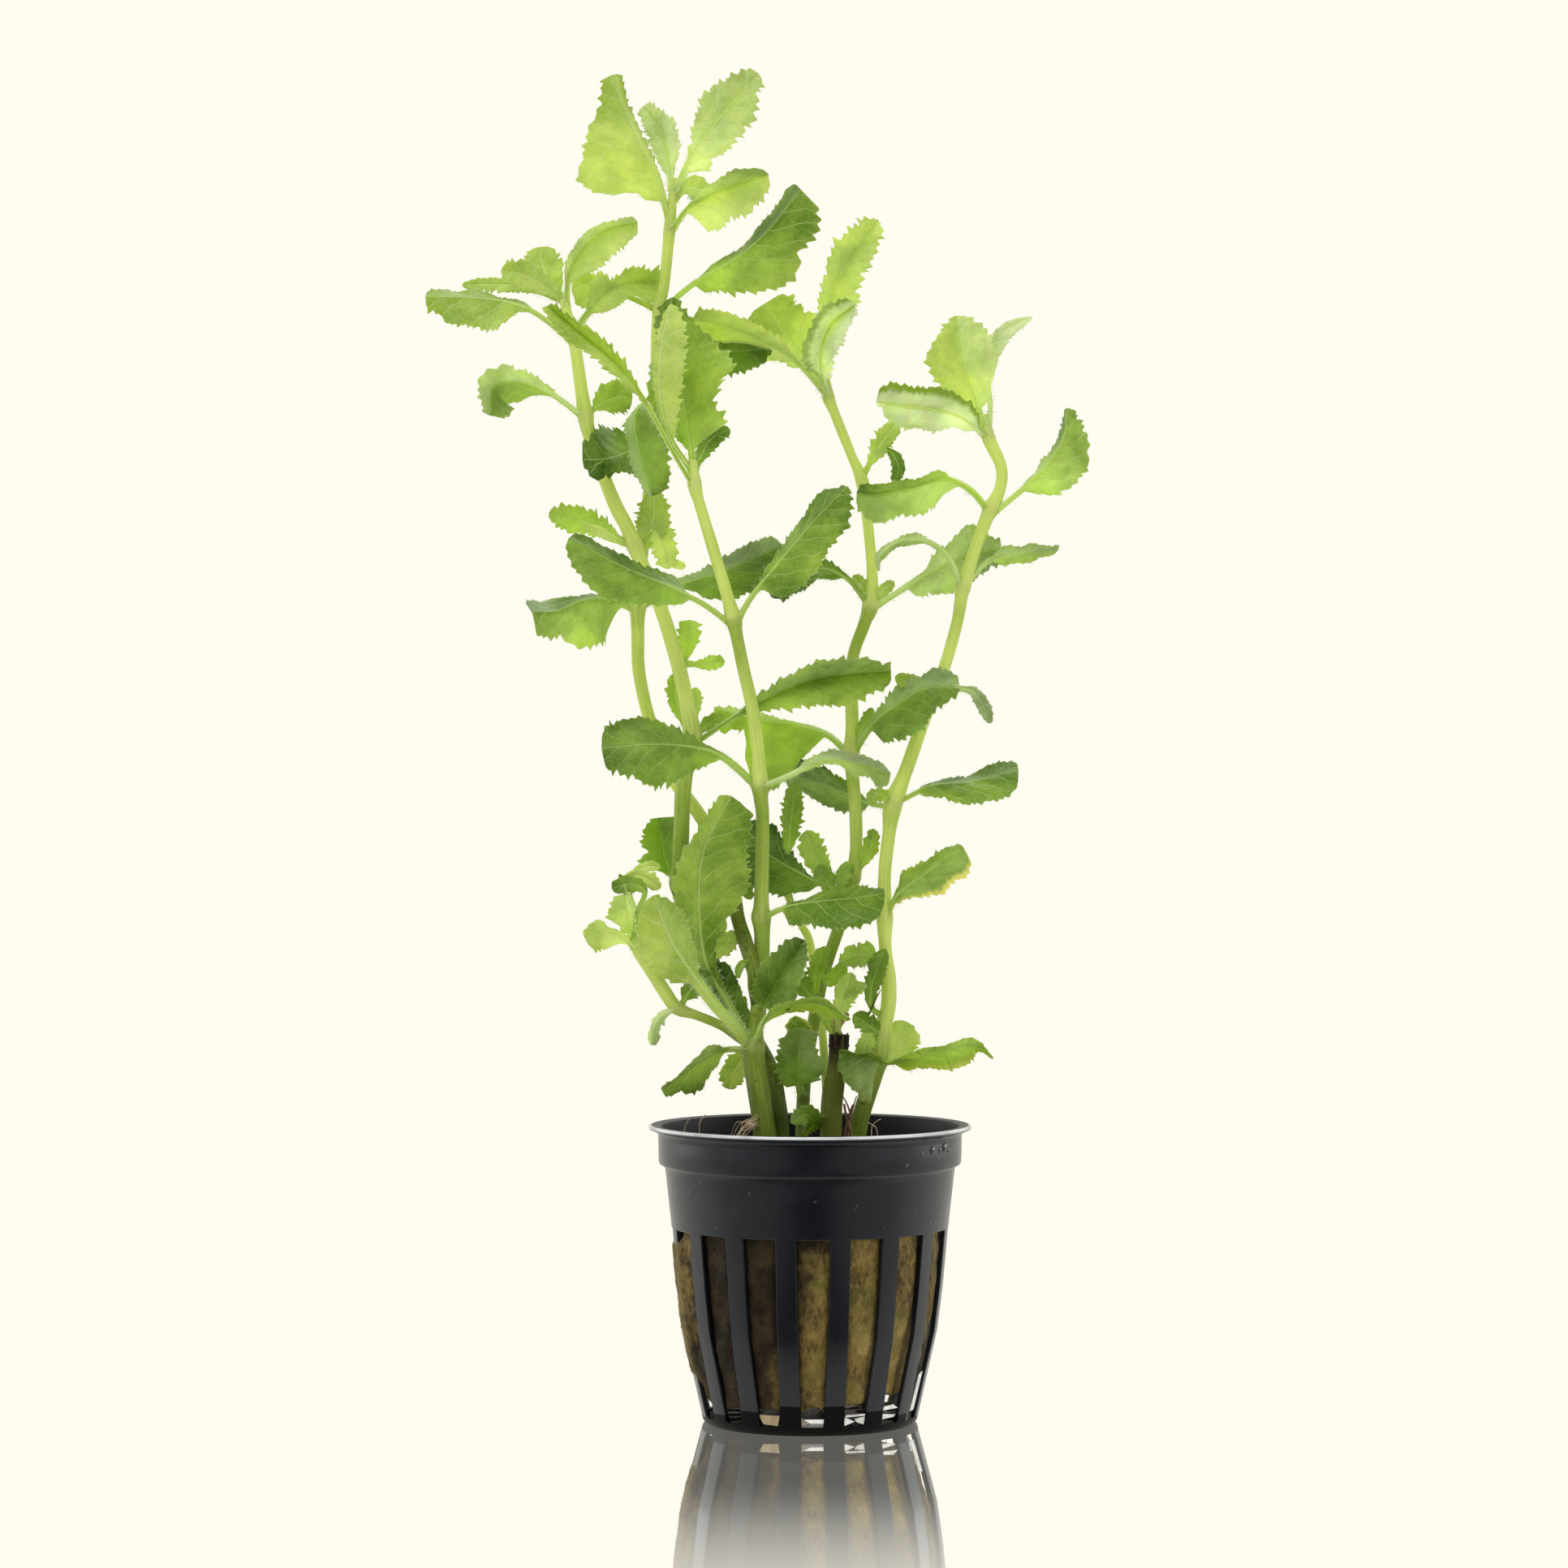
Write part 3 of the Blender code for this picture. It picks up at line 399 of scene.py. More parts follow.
def plain_material(name, light, dark, roughness, specular=0.4):
    """A mottled finish between two colours."""
    n = Nodes(name)
    mottle = n.noise(700, 3, 0.6)
    return n.finish(n.mix(n.range(mottle, 0.35, 0.65), light, dark), roughness, n.bump((mottle, 0.08, 0.7)), specular)


# The pot

WALL = 0.85
SLOTS = 16
PITCH = TURN / SLOTS
SLOT_TURN = math.radians(1.0)
FIRST_SLOT = -math.pi / 2 + SLOT_TURN
SLOT_TOP = 34.1
SLOT_LOW = 1.5
RIB_WIDTH = 3.6
BASE_THICKNESS = 1.1
BODY_TOP = 44.6
BODY_OUTLINE = ((BODY_TOP, 25.4), (34.6, 24.3), (24.6, 23.4), (16.5, 22.4),
                (10.5, 21.05), (4.5, 19.7), (1.4, 19.0), (0.0, 18.0))
SLOT_COLUMNS = 5
RIB_COLUMNS = 4
COLLAR_LOW = 45.0
COLLAR_RADIUS = 26.56

# Outer radius and height, inner radius and height of the rows from the lip down to the wall
LIP_ROWS = ((28.25, 51.35, 28.25, 51.95), (27.6, 51.1, 27.8, 52.0), (26.95, 50.85, 26.6, 51.97),
            (26.62, 50.4, 26.15, 51.75), (26.6, 49.6, 25.9, 51.2), (26.58, 48.0, 25.78, 48.0),
            (26.52, 45.75, 25.7, 45.75), (26.35, 45.25, 25.6, 45.3), (25.75, 44.95, 24.9, 45.0),
            (25.42, 44.55, 24.57, 44.6))


def body_radius(height):
    """The pot wall's outer radius between the collar and the foot."""
    for (top, outer), (low, inner) in zip(BODY_OUTLINE, BODY_OUTLINE[1:]):
        if height >= low:
            return inner + (outer - inner) * (height - low) / (top - low)
    return BODY_OUTLINE[-1][1]


def ring_point(radius, angle, height):
    return Vector((radius * math.cos(angle), radius * math.sin(angle), height))


def pot_rows():
    """Outer point, inner point and rib width of each row, from the lip down and in across the base."""
    rows = [(row[:2], row[2:], RIB_WIDTH) for row in LIP_ROWS]
    marks = []
    for top, low, count in ((BODY_TOP, SLOT_TOP, 8), (SLOT_TOP, SLOT_LOW, 26)):
        for k in range(1, count + 1):
            height = blend(top, low, k / count)
            rows.append(((body_radius(height), height), (body_radius(height) - WALL, height), RIB_WIDTH))
        marks.append(len(rows) - 1)
    rows += [((18.75, 0.55), (17.85, 1.25), RIB_WIDTH), ((18.25, 0.0), (17.5, BASE_THICKNESS), RIB_WIDTH),
             ((15.9, 0.0), (15.9, BASE_THICKNESS), 3.2), ((9.0, 0.0), (9.0, BASE_THICKNESS), 1.8)]
    return rows, *marks


def pot(finish, foot, inside):
    """The net pot as one thin wall with open slots, rounded where edges meet."""
    rows, first_slot, last_slot = pot_rows()
    per_slot = SLOT_COLUMNS + RIB_COLUMNS
    columns = SLOTS * per_slot
    end = len(rows) - 1

    def angle(column, radius, rib):
        """Columns run from a slot's left edge across it, then across the rib."""
        half_rib = math.asin(rib / 2 / radius)
        half_slot = PITCH / 2 - half_rib
        k = column % per_slot
        if k <= SLOT_COLUMNS:
            offset = blend(-half_slot, half_slot, k / SLOT_COLUMNS)
        else:
            offset = blend(half_slot, half_slot + 2 * half_rib, (k - SLOT_COLUMNS) / RIB_COLUMNS)
        return FIRST_SLOT + (column // per_slot) * PITCH + offset

    made = Piece()
    for outer, inner, rib in rows:
        for radius, height in (outer, inner):
            for c in range(columns):
                made.add(ring_point(radius, angle(c, radius, rib), height))
    centre_low = made.add(Vector((0, 0, 0)))
    centre_top = made.add(Vector((0, 0, BASE_THICKNESS)))

    def outer_at(row, column):
        return row * 2 * columns + column % columns

    def inner_at(row, column):
        return (row * 2 + 1) * columns + column % columns

    def is_solid(row, column):
        slot = column % per_slot < SLOT_COLUMNS
        return not (slot and (first_slot <= row < last_slot or row == end - 1))

    faces = made.faces
    for row in range(end):
        low = row + 1
        for c in range(columns):
            if not is_solid(row, c):
                continue
            d = c + 1
            a, b, e, f = outer_at(row, c), outer_at(low, c), outer_at(low, d), outer_at(row, d)
            g, h, i, j = inner_at(row, c), inner_at(low, c), inner_at(low, d), inner_at(row, d)
            faces += [(a, b, e, f), (g, j, i, h)]
            if row == 0 or not is_solid(row - 1, c):
                faces.append((a, f, j, g))
            if row < end - 1 and not is_solid(low, c):
                faces.append((b, h, i, e))
            if not is_solid(row, c - 1):
                faces.append((a, g, h, b))
            if not is_solid(row, d):
                faces.append((f, e, i, j))
    for c in range(columns):
        a, b, g, h = outer_at(end, c), outer_at(end, c + 1), inner_at(end, c), inner_at(end, c + 1)
        faces += [(a, centre_low, b), (g, h, centre_top)]
        if not is_solid(end - 1, c):
            faces.append((a, b, h, g))
    made.nodes.add("pot")
    shown_pot = made.build("net_pot", finish, "pot_plastic", smooth_angle=35)
    shown_pot.data.materials.append(foot)
    shown_pot.data.materials.append(inside)
    # Faces low on the wall, up to a line that rises towards the front, get near-black plastic as a painted shadow;
    # inward faces at the top get darker plastic as painted shade.
    for face in shown_pot.data.polygons:
        across, depth, height = face.center
        painted_shadow_below = max(1.6 * MM, -0.6 * MM + 0.29 * -depth)
        faces_in = Vector((across, depth, 0)).dot(face.normal) < 0
        face.material_index = 2 if faces_in and height > 44.5 * MM else int(height < painted_shadow_below)
    bevel = shown_pot.modifiers.new("edges", "BEVEL")
    bevel.width = 0.16 * MM
    bevel.segments = 2
    bevel.limit_method = "ANGLE"
    bevel.angle_limit = math.radians(50)
    bevel.harden_normals = False


# Rockwool

WOOL_TOP = 44.0
WOOL_BEND = WOOL_TOP - 1.0
WOOL_LOW = 3.2
WOOL_COLUMNS = 240
WOOL_RINGS = 90
WOOL_CAPS = 26


def slot_share(turn):
    """1 in the middle of a wall slot, 0 behind a rib."""
    off = abs((turn + math.pi / 2 - SLOT_TURN + PITCH / 2) % PITCH - PITCH / 2)
    return 1 - ease(PITCH * 0.2, PITCH * 0.33, off)


def spill(turn, height):
    """1 where the plug bulges out over the pot's leftmost rib, 0 elsewhere."""
    rib = FIRST_SLOT - 3.5 * PITCH
    off = abs((turn - rib + math.pi) % TURN - math.pi)
    return (1 - ease(0.1, 0.19, off)) * ease(5, 10, height) * (1 - ease(31, 33.5, height))


def wool_radius(turn, height):
    """The plug's radius: it swells into the slots, and is slack low on its right side."""
    inner = body_radius(height) - WALL
    open_here = slot_share(turn) * ease(WOOL_LOW - 2, WOOL_LOW + 2, height) * (1 - ease(31, 34, height))
    place = Vector((math.cos(turn) * 4, math.sin(turn) * 4, height * 0.16))
    lumps = noise.noise(place * 1.3) * 0.45 + noise.noise(place * 4.0) * 0.22
    slack = 1.5 * ease(0.2, 0.95, math.cos(turn)) * (1 - ease(10, 26, height))
    swell = 0.62 * open_here * (0.75 + 0.6 * noise.noise(place * 2.2))
    inside = inner - 0.35 - slack + swell + lumps * (0.3 + 0.5 * open_here)
    return blend(inside, body_radius(height) + 0.22 + lumps * 0.35, spill(turn, height))


def wool_low(place):
    """The plug's ragged lower edge, higher on its right."""
    return WOOL_LOW + 1.1 + 2.4 * ease(-0.2, 0.9, place.x / 20) + 0.9 * noise.noise(place * 0.35)


def rockwool(finish):
    """The plug: its side, its lumpy top and the closed middle of both ends."""
    made = Piece()
    turns = [TURN * c / WOOL_COLUMNS for c in range(WOOL_COLUMNS)]
    for r in range(WOOL_RINGS + 1):
        height = blend(WOOL_LOW, WOOL_BEND, r / WOOL_RINGS)
        for turn in turns:
            p = ring_point(wool_radius(turn, height), turn, height)
            p.z = max(p.z, wool_low(p))
            made.add(p)
    for r in range(1, WOOL_CAPS):
        share = 1 - r / WOOL_CAPS
        for turn in turns:
            p = ring_point(wool_radius(turn, WOOL_BEND) * share, turn, 0)
            lump = noise.noise(Vector((p.x, p.y, 3)) * 0.35) * 0.9 + noise.noise(Vector((p.x, p.y, 9)) * 1.2) * 0.4
            p.z = WOOL_BEND + (1 - share ** 6) * 0.9 + lump * (1 - share ** 3)
            made.add(p)
    total = WOOL_RINGS + WOOL_CAPS
    made.tube(0, total, WOOL_COLUMNS)
    low = made.add(Vector((0, 0, WOOL_LOW)))
    top = made.add(Vector((0, 0, WOOL_TOP)))
    made.close(low, top, (total - 1) * WOOL_COLUMNS, WOOL_COLUMNS)
    made.nodes.add("rockwool")
    made.build("rockwool_plug", finish, "rockwool", smooth_angle=80)


def turned(side, along):
    """The side made square to the way along."""
    return side - along * side.dot(along)


def strand(piece, points, radius, sides=3, tip=0.4):
    """A thin closed tube through points, narrower at its end."""
    start = len(piece.points)
    side = Vector((0.3, 0.9, 0.2)).normalized()
    last = len(points) - 1
    for k, p in enumerate(points):
        along = (points[min(k + 1, last)] - points[max(k - 1, 0)]).normalized()
        side = turned(side, along)
        side = side.normalized() if side.length > 0.05 else along.orthogonal().normalized()
        other = along.cross(side)
        r = radius * blend(1.0, tip, k / last)
        for s in range(sides):
            turn = TURN * s / sides
            piece.add(p + (side * math.cos(turn) + other * math.sin(turn)) * r, (s / sides, k / len(points)))
    piece.tube(start, len(points), sides)
    piece.faces.append(tuple(start + s for s in reversed(range(sides))))
    piece.faces.append(tuple(start + last * sides + s for s in range(sides)))


def wool_fibres(finish):
    """Loose fibres that lie on the plug where the slots and the mouth show it."""
    made = Piece()
    dice = random.Random(SEED)
    for _ in range(5200):
        turn = dice.uniform(0, TURN)
        height = dice.uniform(WOOL_LOW + 0.5, 33.0)
        if slot_share(turn) < 0.6 and spill(turn, height) < 0.5:
            continue
        heading = dice.uniform(0, math.pi)
        reach = dice.uniform(0.8, 2.4)
        points = []
        for k in range(4):
            s = (k / 3 - 0.5) * reach
            t = turn + math.cos(heading) * s / 22
            h = min(max(height + math.sin(heading) * s, WOOL_LOW), 33.6)
            lift = dice.uniform(-0.05, 0.14)
            points.append(ring_point(min(wool_radius(t, h) + lift, body_radius(h) - 0.05 + spill(t, h)), t, h))
        strand(made, points, dice.uniform(0.02, 0.045))
    mouth, edge = 23.0, 23.6
    for _ in range(1500):
        turn = dice.uniform(0, TURN)
        out = mouth * math.sqrt(dice.random())
        heading = dice.uniform(0, TURN)
        reach = dice.uniform(1.5, 5.0)
        centre = ring_point(out, turn, WOOL_TOP + dice.uniform(0.0, 0.5))
        points = []
        for k in range(4):
            s = k / 3 - 0.5
            bend = heading + s * dice.uniform(-0.8, 0.8)
            p = centre + Vector((math.cos(bend), math.sin(bend), 0)) * s * reach
            p.z += dice.uniform(-0.3, 0.5)
            flat = math.hypot(p.x, p.y)
            if flat > edge:
                p.x, p.y = p.x * edge / flat, p.y * edge / flat
            points.append(p)
        strand(made, points, dice.uniform(0.03, 0.07))
    made.build("rockwool_fibres", finish, "rockwool", smooth_angle=80)


# Stems

STEM_SIDES = 16
STEM_STEP = 0.9
KNOT_REACH = 1.3
MIDWAY = (90, 150)
FAR = 99.0

def stem(name, finish, rows, ages, fade=(66, 105), knots=(), below=0.1, cad=None):
    """A stem through rows of (across, up, depth, width). ages are its tone below and above the heights of fade.

    knots are the heights, as seen, of its nodes, where it has a scarred ring, and below is how much darker
    its tone is for some way under each of those halfway up. cad is the solid that it stands for.
    """
    route = Route([seen(*row[:3]) for row in rows], [row[3] / 2 for row in rows])
    made = Piece()
    count = max(8, round(route.length / STEM_STEP))
    side = Vector((1, 0, 0))
    phase = random.Random(name).uniform(0, 6)
    for k in range(count + 1):
        share = k / count
        place = route.point(share)
        along = route.direction(share)
        side = turned(side, along).normalized()
        other = along.cross(side)
        ring = 1 - ease(0.0, KNOT_REACH, min((abs(place.z - knot) for knot in knots), default=FAR))
        drop = min((knot - place.z for knot in knots if MIDWAY[0] < knot < MIDWAY[1] and knot > place.z), default=FAR)
        tone = blend(*ages, ease(*fade, place.z)) + below * (1 - ease(3.0, 24.0, drop))
        for s in range(STEM_SIDES):
            turn = TURN * s / STEM_SIDES
            spot = Vector((math.cos(turn) * 1.2, math.sin(turn) * 1.2, share * route.length * 0.16 + phase))
            radius = route.value(share) * (1 + 0.05 * math.cos(4 * turn + phase) + 0.07 * noise.noise(spot)
                                           + 0.05 * ring)
            made.add(place + (side * math.cos(turn) + other * math.sin(turn)) * radius,
                     (s / STEM_SIDES, share * route.length), tone=(tone, ring))
    made.tube(0, count + 1, STEM_SIDES)
    foot = made.add(route.point(0), tone=(ages[0], 0))
    top = made.add(route.point(1), (0, route.length), tone=(ages[1], 0))
    made.close(foot, top, count * STEM_SIDES, STEM_SIDES)
    if cad:
        made.nodes.add(cad)
    made.build(name, finish, "stem_old" if finish is STEM_OLD else "stem_green", smooth_angle=75)


# Leaves

STATION = 0.26
HALF_STEPS = (0.0, 0.16, 0.36, 0.58, 0.8, 0.94)
EDGE_STATIONS = (0.0, 0.06, 0.14, 0.24, 0.35, 0.46, 0.57, 0.68, 0.78, 0.87, 0.94, 1.0)
TIP_SHARE = 0.985
TEETH_A_LEAF = 17
TOOTH_PITCH = (1.15, 1.9)
TOOTH_DEPTH = 0.8
TOOTH_HOOK = 0.15
TOOTH_RISE = 0.78
TOOTH_FALL = 0.22
TOOTH_SIZES = 80
MIDRIB_THICKNESS = 0.95
TIP_THICKNESS = 0.45
BLADE_THICKNESS = 0.30
MIDRIB_SHARES = {1: 0.36, -1: 0.64}
HAIR_RADIUS = 0.045

groups = {}
hairs = Piece()


def blade_share(s, wide, blunt):
    """How much of its full half-width the blade has at this share of the blade's length."""
    if s <= 0 or s >= 1:
        return 0.0
    rise = blunt * wide / (1 - wide)
    return (s / wide) ** rise * ((1 - s) / (1 - wide)) ** blunt


def edge_share(s, percents, square):
    """The same, read from percents at EDGE_STATIONS. A square tip ends as if cut off."""
    if s <= 0 or s >= 1:
        return 0.0
    full = [0.0] + [p / 100 for p in percents] + [0.0]
    i = max(k for k in range(len(EDGE_STATIONS) - 1) if EDGE_STATIONS[k] <= s)
    t = (s - EDGE_STATIONS[i]) / (EDGE_STATIONS[i + 1] - EDGE_STATIONS[i])
    if i == len(EDGE_STATIONS) - 2:
        return full[i] * (1 - t ** (4 if square else 2)) ** 0.6
    curved = catmull(full[max(i - 1, 0)], full[i], full[i + 1], full[min(i + 2, len(full) - 1)], t)
    return max(blend(curved, blend(full[i], full[i + 1], t), 0.65), 0.0)


def leaf(name, age, path, left, right, petiole, tone, edges=None, wide=0.6, blunt=0.5, stalk=0.75, tones=None,
         frost=(0.0, 0.0), wear=0.0, wave=0.3, teeth=1.0, hairy=1.0, slope=0.0, roll=(0.0, 0.0), square=False):
    """A leaf along its midrib, from inside its stem to its tip, of which petiole is the stalk's share.

    left and right are each half's width and how far it is turned towards the front, in degrees.
    edges are each half's percents of that width at EDGE_STATIONS. Without them the blade is widest at wide
    and tapers by the power blunt. stalk is half the width of its stalk.
    tones is each half's darkness, partly its own tone and partly painted shade where the half turns from the light,
    and frost how pale and dull its downy side is, partly a painted sheen.
    slope is how much darker its tip is than its base, and roll how much painted shade darkens the outer strip of each
    half, where it curls over.
    """
    group = groups.setdefault((name.split("_")[1], age), Piece())
    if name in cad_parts:
        group.nodes.add(name)
    dice = random.Random(name)
    seed = Vector([dice.uniform(0, 50) for _ in range(3)])
    tones = tones or (tone, tone)
    wear = wear if isinstance(wear, tuple) else (wear, wear)
    route = Route([seen(*p) for p in path])
    count = max(20, round(route.length / STATION))
    blade_length = route.length * (TIP_SHARE - petiole)
    pitch = min(max(blade_length / TEETH_A_LEAF, TOOTH_PITCH[0]), TOOTH_PITCH[1])
    sizes = [[dice.uniform(0.6, 1.22) ** 2 for _ in range(TOOTH_SIZES)] for _ in range(2)]
    across = None
    rings = []
    for k in range(count + 1):
        share = TIP_SHARE * k / count
        centre = route.point(share)
        along = route.direction(share)
        sideways = along.cross(FRONT)
        if across is None or sideways.length > 0.25:
            across = sideways.normalized()
        across = turned(across, along).normalized()
        towards = along.cross(across)
        s = (share - petiole) / (TIP_SHARE - petiole)
        clasp = 1 + 0.6 * math.exp(-share * route.length / 1.2)
        thick = blend(MIDRIB_THICKNESS, TIP_THICKNESS, ease(0.0, 0.9, s)) * ease(-0.02, 0.03, 1 - s)
        halves = []
        for h, ((width, tilt), sign) in enumerate(((left, 1), (right, -1))):
            full = width * (edge_share(s, edges[h], square) if edges else blade_share(s, wide, blunt))
            phase = s * blade_length / pitch + noise.noise(seed + Vector((s * 5, h * 9, 0))) * 0.9 + h * 0.4 + 2
            part = phase % 1.0
            own = sizes[h][int(phase) % TOOTH_SIZES] * teeth * pitch * TOOTH_DEPTH
            own *= ease(0.06, 0.22, s) * ease(0.3, 2.2, full)
            rise = part / TOOTH_RISE if part < TOOTH_RISE else (1 - part) / TOOTH_FALL
            lobe = 0.25 * math.sin(phase * 0.9 * math.pi + seed.y)
            reach = max(stalk * clasp * (1 - 0.35 * ease(0.3, 1.0, s)) * ease(0, 0.04, 1 - s), 0.02)
            reach = max(reach, full + own * (rise ** 1.5 - 0.45 + lobe))
            hook = own * TOOTH_HOOK * rise
            swing = wave * noise.noise(seed + Vector((s * 3.1, h * 7, 5))) * 3.0
            swing += wave * math.sin(s * 17 + seed.x + h * 2) * 0.6
            row = []
            place = centre
            last = 0.0
            for a in HALF_STEPS[1:] + (1.0,):
                turn = math.radians(tilt * (1.12 - 0.24 * a))
                out = across * sign * math.cos(turn) + towards * math.sin(turn)
                facing = towards * math.cos(turn) - across * sign * math.sin(turn)
                place = place + out * (a - last) * reach
                last = a
                lean = along * hook * ease(0.7, 1.0, a)
                row.append((place + lean + facing * swing * a * a * ease(0.5, 3.0, reach), facing, a, reach))
            halves.append(row)
        facing = (halves[0][0][1] + halves[1][0][1]).normalized()
        ring = []

        def put(place, a, sign, reach):
            half = 0 if sign > 0 else 1
            # Each half's darkness is partly its own tone and partly painted shade where it turns from the light, and
            # painted shade darkens the strip where it curls over.
            curl = roll[half] * ease(0.55, 0.8, a)
            tone_with_shade = blend(tone, tones[half], ease(0.0, 0.12, a)) + slope * (s - 0.5) + curl * 0.6
            # The downy side's pale colour, partly a painted sheen.
            side_and_sheen_share = frost[half] * ease(0.0, 0.1, a) * (1 - min(curl, 1.0))
            ring.append(group.add(place, (a * sign, s), (a * sign * reach, s * blade_length),
                                  (tone_with_shade, wear[half]), (side_and_sheen_share, 0.0)))

        for front, edge, edge_sign in ((1, halves[0][-1], 1), (-1, halves[1][-1], -1)):
            put(edge[0], 1.0, edge_sign, edge[3])
            rows = [(entry, 1) for entry in reversed(halves[0][:-1])] + [None]
            rows += [(entry, -1) for entry in halves[1][:-1]]
            for entry in rows[::front]:
                if entry is None:
                    put(centre + facing * front * thick * MIDRIB_SHARES[front], 0.0, 1, 0.0)
                    continue
                (place, normal, a, reach), sign = entry
                skin = blend(thick * 0.7, BLADE_THICKNESS, ease(0.0, 0.3, a)) * (1 - 0.5 * a * a) / 2
                put(place + normal * front * skin, a, sign, reach)
        rings.append(ring)
        for half, sign in ((halves[0], 1), (halves[1], -1)):
            if dice.random() < 0.4 * hairy * (1.0 if s < 0.15 else 0.3):
                root, normal, a, reach = half[-1]
                lean = across * sign + along * dice.uniform(-0.2, 0.8) + normal * dice.uniform(-0.7, 0.7)
                lean.normalize()
                size = dice.uniform(0.35, 0.85) * (1.0 if s < 0.15 else 0.7)
                sag = Vector((0, 0, -0.15 * size))
                strand(hairs, [root, root + lean * size * 0.5, root + lean * size + sag], HAIR_RADIUS, tip=0.3)
    around = len(rings[0])
    group.tube(rings[0][0], len(rings), around)
    group.faces.append(tuple(reversed(rings[0])))
    group.faces.append(tuple(rings[-1]))


def grown(name, age, path, left, right, petiole, tone, *edges, **more):
    """A leaf that is a solid in the part. edges are its left and its right half's percents."""
    leaf("leaf_" + name, age, path, left, right, petiole, tone, edges, **more)


def small(name, age, path, half, petiole=0.2, tone=0.35, turns=(20, 20), frost=0.0, **more):
    """A leaf that the solids leave out, with both halves about as wide as each other."""
    left, right = half if isinstance(half, tuple) else (half, half)
    leaf("small_" + name, age, path, (left, turns[0]), (right, turns[1]), petiole, tone, stalk=0.5, wave=0.2,
         frost=(frost, frost), **more)


STEM_GREEN = stem_material("stem_green_tissue", (0.70, 0.80, 0.235), (0.35, 0.485, 0.062), (0.085, 0.125, 0.008),
                           (0.62, 0.64, 0.26))
STEM_OLD = stem_material("stem_old_tissue", (0.20, 0.23, 0.03), (0.085, 0.085, 0.012), (0.022, 0.008, 0.004),
                         (0.03, 0.012, 0.006))

# Across, up, depth and width of places on each stem, from its foot to its top
stem("stalk_a", STEM_GREEN, [(-9.3, 73.2, -2.6, 2.2), (-9.7, 76.4, -4.1, 2.6), (-9.8, 79, -4.5, 2.7),
     (-11.3, 84, -1.9, 2.7), (-12.6, 88, 0, 2.6), (-13.9, 94, 2, 2.6), (-18.4, 104.7, 6, 2.5), (-23.9, 112.6, 7, 2.5),
     (-27.8, 122, 8, 2.4), (-29.9, 131, 8, 2.3), (-30.2, 138.5, 6.8, 2.4), (-30.2, 143, 6.2, 3), (-30, 147, 6, 2.3),
     (-28.5, 160, 5.5, 2.2), (-27.5, 172, 5, 2.1), (-27.2, 175.5, 5, 2.5), (-27.1, 180, 5, 2.1), (-26.6, 194, 5, 2.3),
     (-25.6, 199, 4.5, 1.9), (-24.6, 209, 3.5, 2.2), (-24.2, 213, 3.2, 1.7), (-23.9, 218, 3, 1.2)], (0.85, 0.15),
     fade=(84, 112), knots=(143, 175.5, 195.5, 209.3), cad="stem_a")
stem("stalk_b", STEM_GREEN, [(-4.5, 40, -2.7, 3), (-5.1, 50, -2.2, 3), (-5.6, 55, -1.6, 3), (-6.6, 60.5, 0.5, 2.9),
     (-8.9, 65.5, 2.4, 2.8), (-11.3, 69, 3, 2.8), (-13.8, 73, 3.2, 2.8), (-17.3, 80.5, 3.2, 2.8), (-21, 89, 2.6, 2.8),
     (-23, 94.2, 2, 3.2), (-22.8, 98, 1.5, 2.9), (-22.2, 111, 0.5, 2.8), (-21.2, 117, 0.1, 2.8), (-20.6, 120, 0, 3.4),
     (-21.3, 124.5, 0, 2.8), (-23.2, 133, 0, 2.6), (-26.5, 143.5, 0, 2.4), (-29.6, 150.5, 0, 2.5),
     (-30.7, 153.5, 0, 3), (-32.2, 157, 0, 2.4), (-34.5, 161.5, 0, 2.4), (-38.4, 172, -1, 2.3),
     (-39.4, 176.3, -1, 2.8), (-40.1, 181, -1, 2.2), (-41.2, 188.5, -2, 2.1), (-41.8, 190.5, -2, 2.4),
     (-43.2, 196.8, -2, 1.6)], (0.9, 0.12), fade=(72, 128), knots=(94.2, 120, 153.5, 176.3, 190), cad="stem_b")
stem("stalk_c", STEM_GREEN, [(-7, 40, -5.3, 3.9), (-7.9, 50, -5.2, 3.9), (-8.7, 56, -5.2, 3.8), (-9.7, 62, -5.2, 3.7),
     (-10, 65.8, -4.8, 4.1), (-9.6, 69, -3.6, 2.9), (-9, 72.5, -2.5, 2.8), (-8.6, 79, -1.4, 2.8), (-8.4, 85, -1, 2.7),
     (-8.6, 88.4, -1, 3.3), (-8.5, 92, -1.3, 2.5), (-8.3, 105, -3, 2.3), (-8.6, 109, -3.4, 2.4),
     (-8.7, 111.5, -3.6, 3), (-9, 116, -4, 2.3), (-9.9, 124, -5, 2.2), (-11.8, 132.5, -6, 2.1),
     (-12.9, 138, -6.8, 2.2), (-13.4, 140.5, -7, 2.8), (-14.6, 145, -7.5, 2.1), (-16.8, 152.4, -8, 2),
     (-19.4, 161, -8.9, 1.9), (-20.2, 164, -9, 2.4), (-20.6, 168.5, -9, 1.6)], (0.75, 0.12), fade=(55, 112),
     knots=(65.8, 88.4, 111.5, 140.5, 164), below=0.32, cad="stem_c")
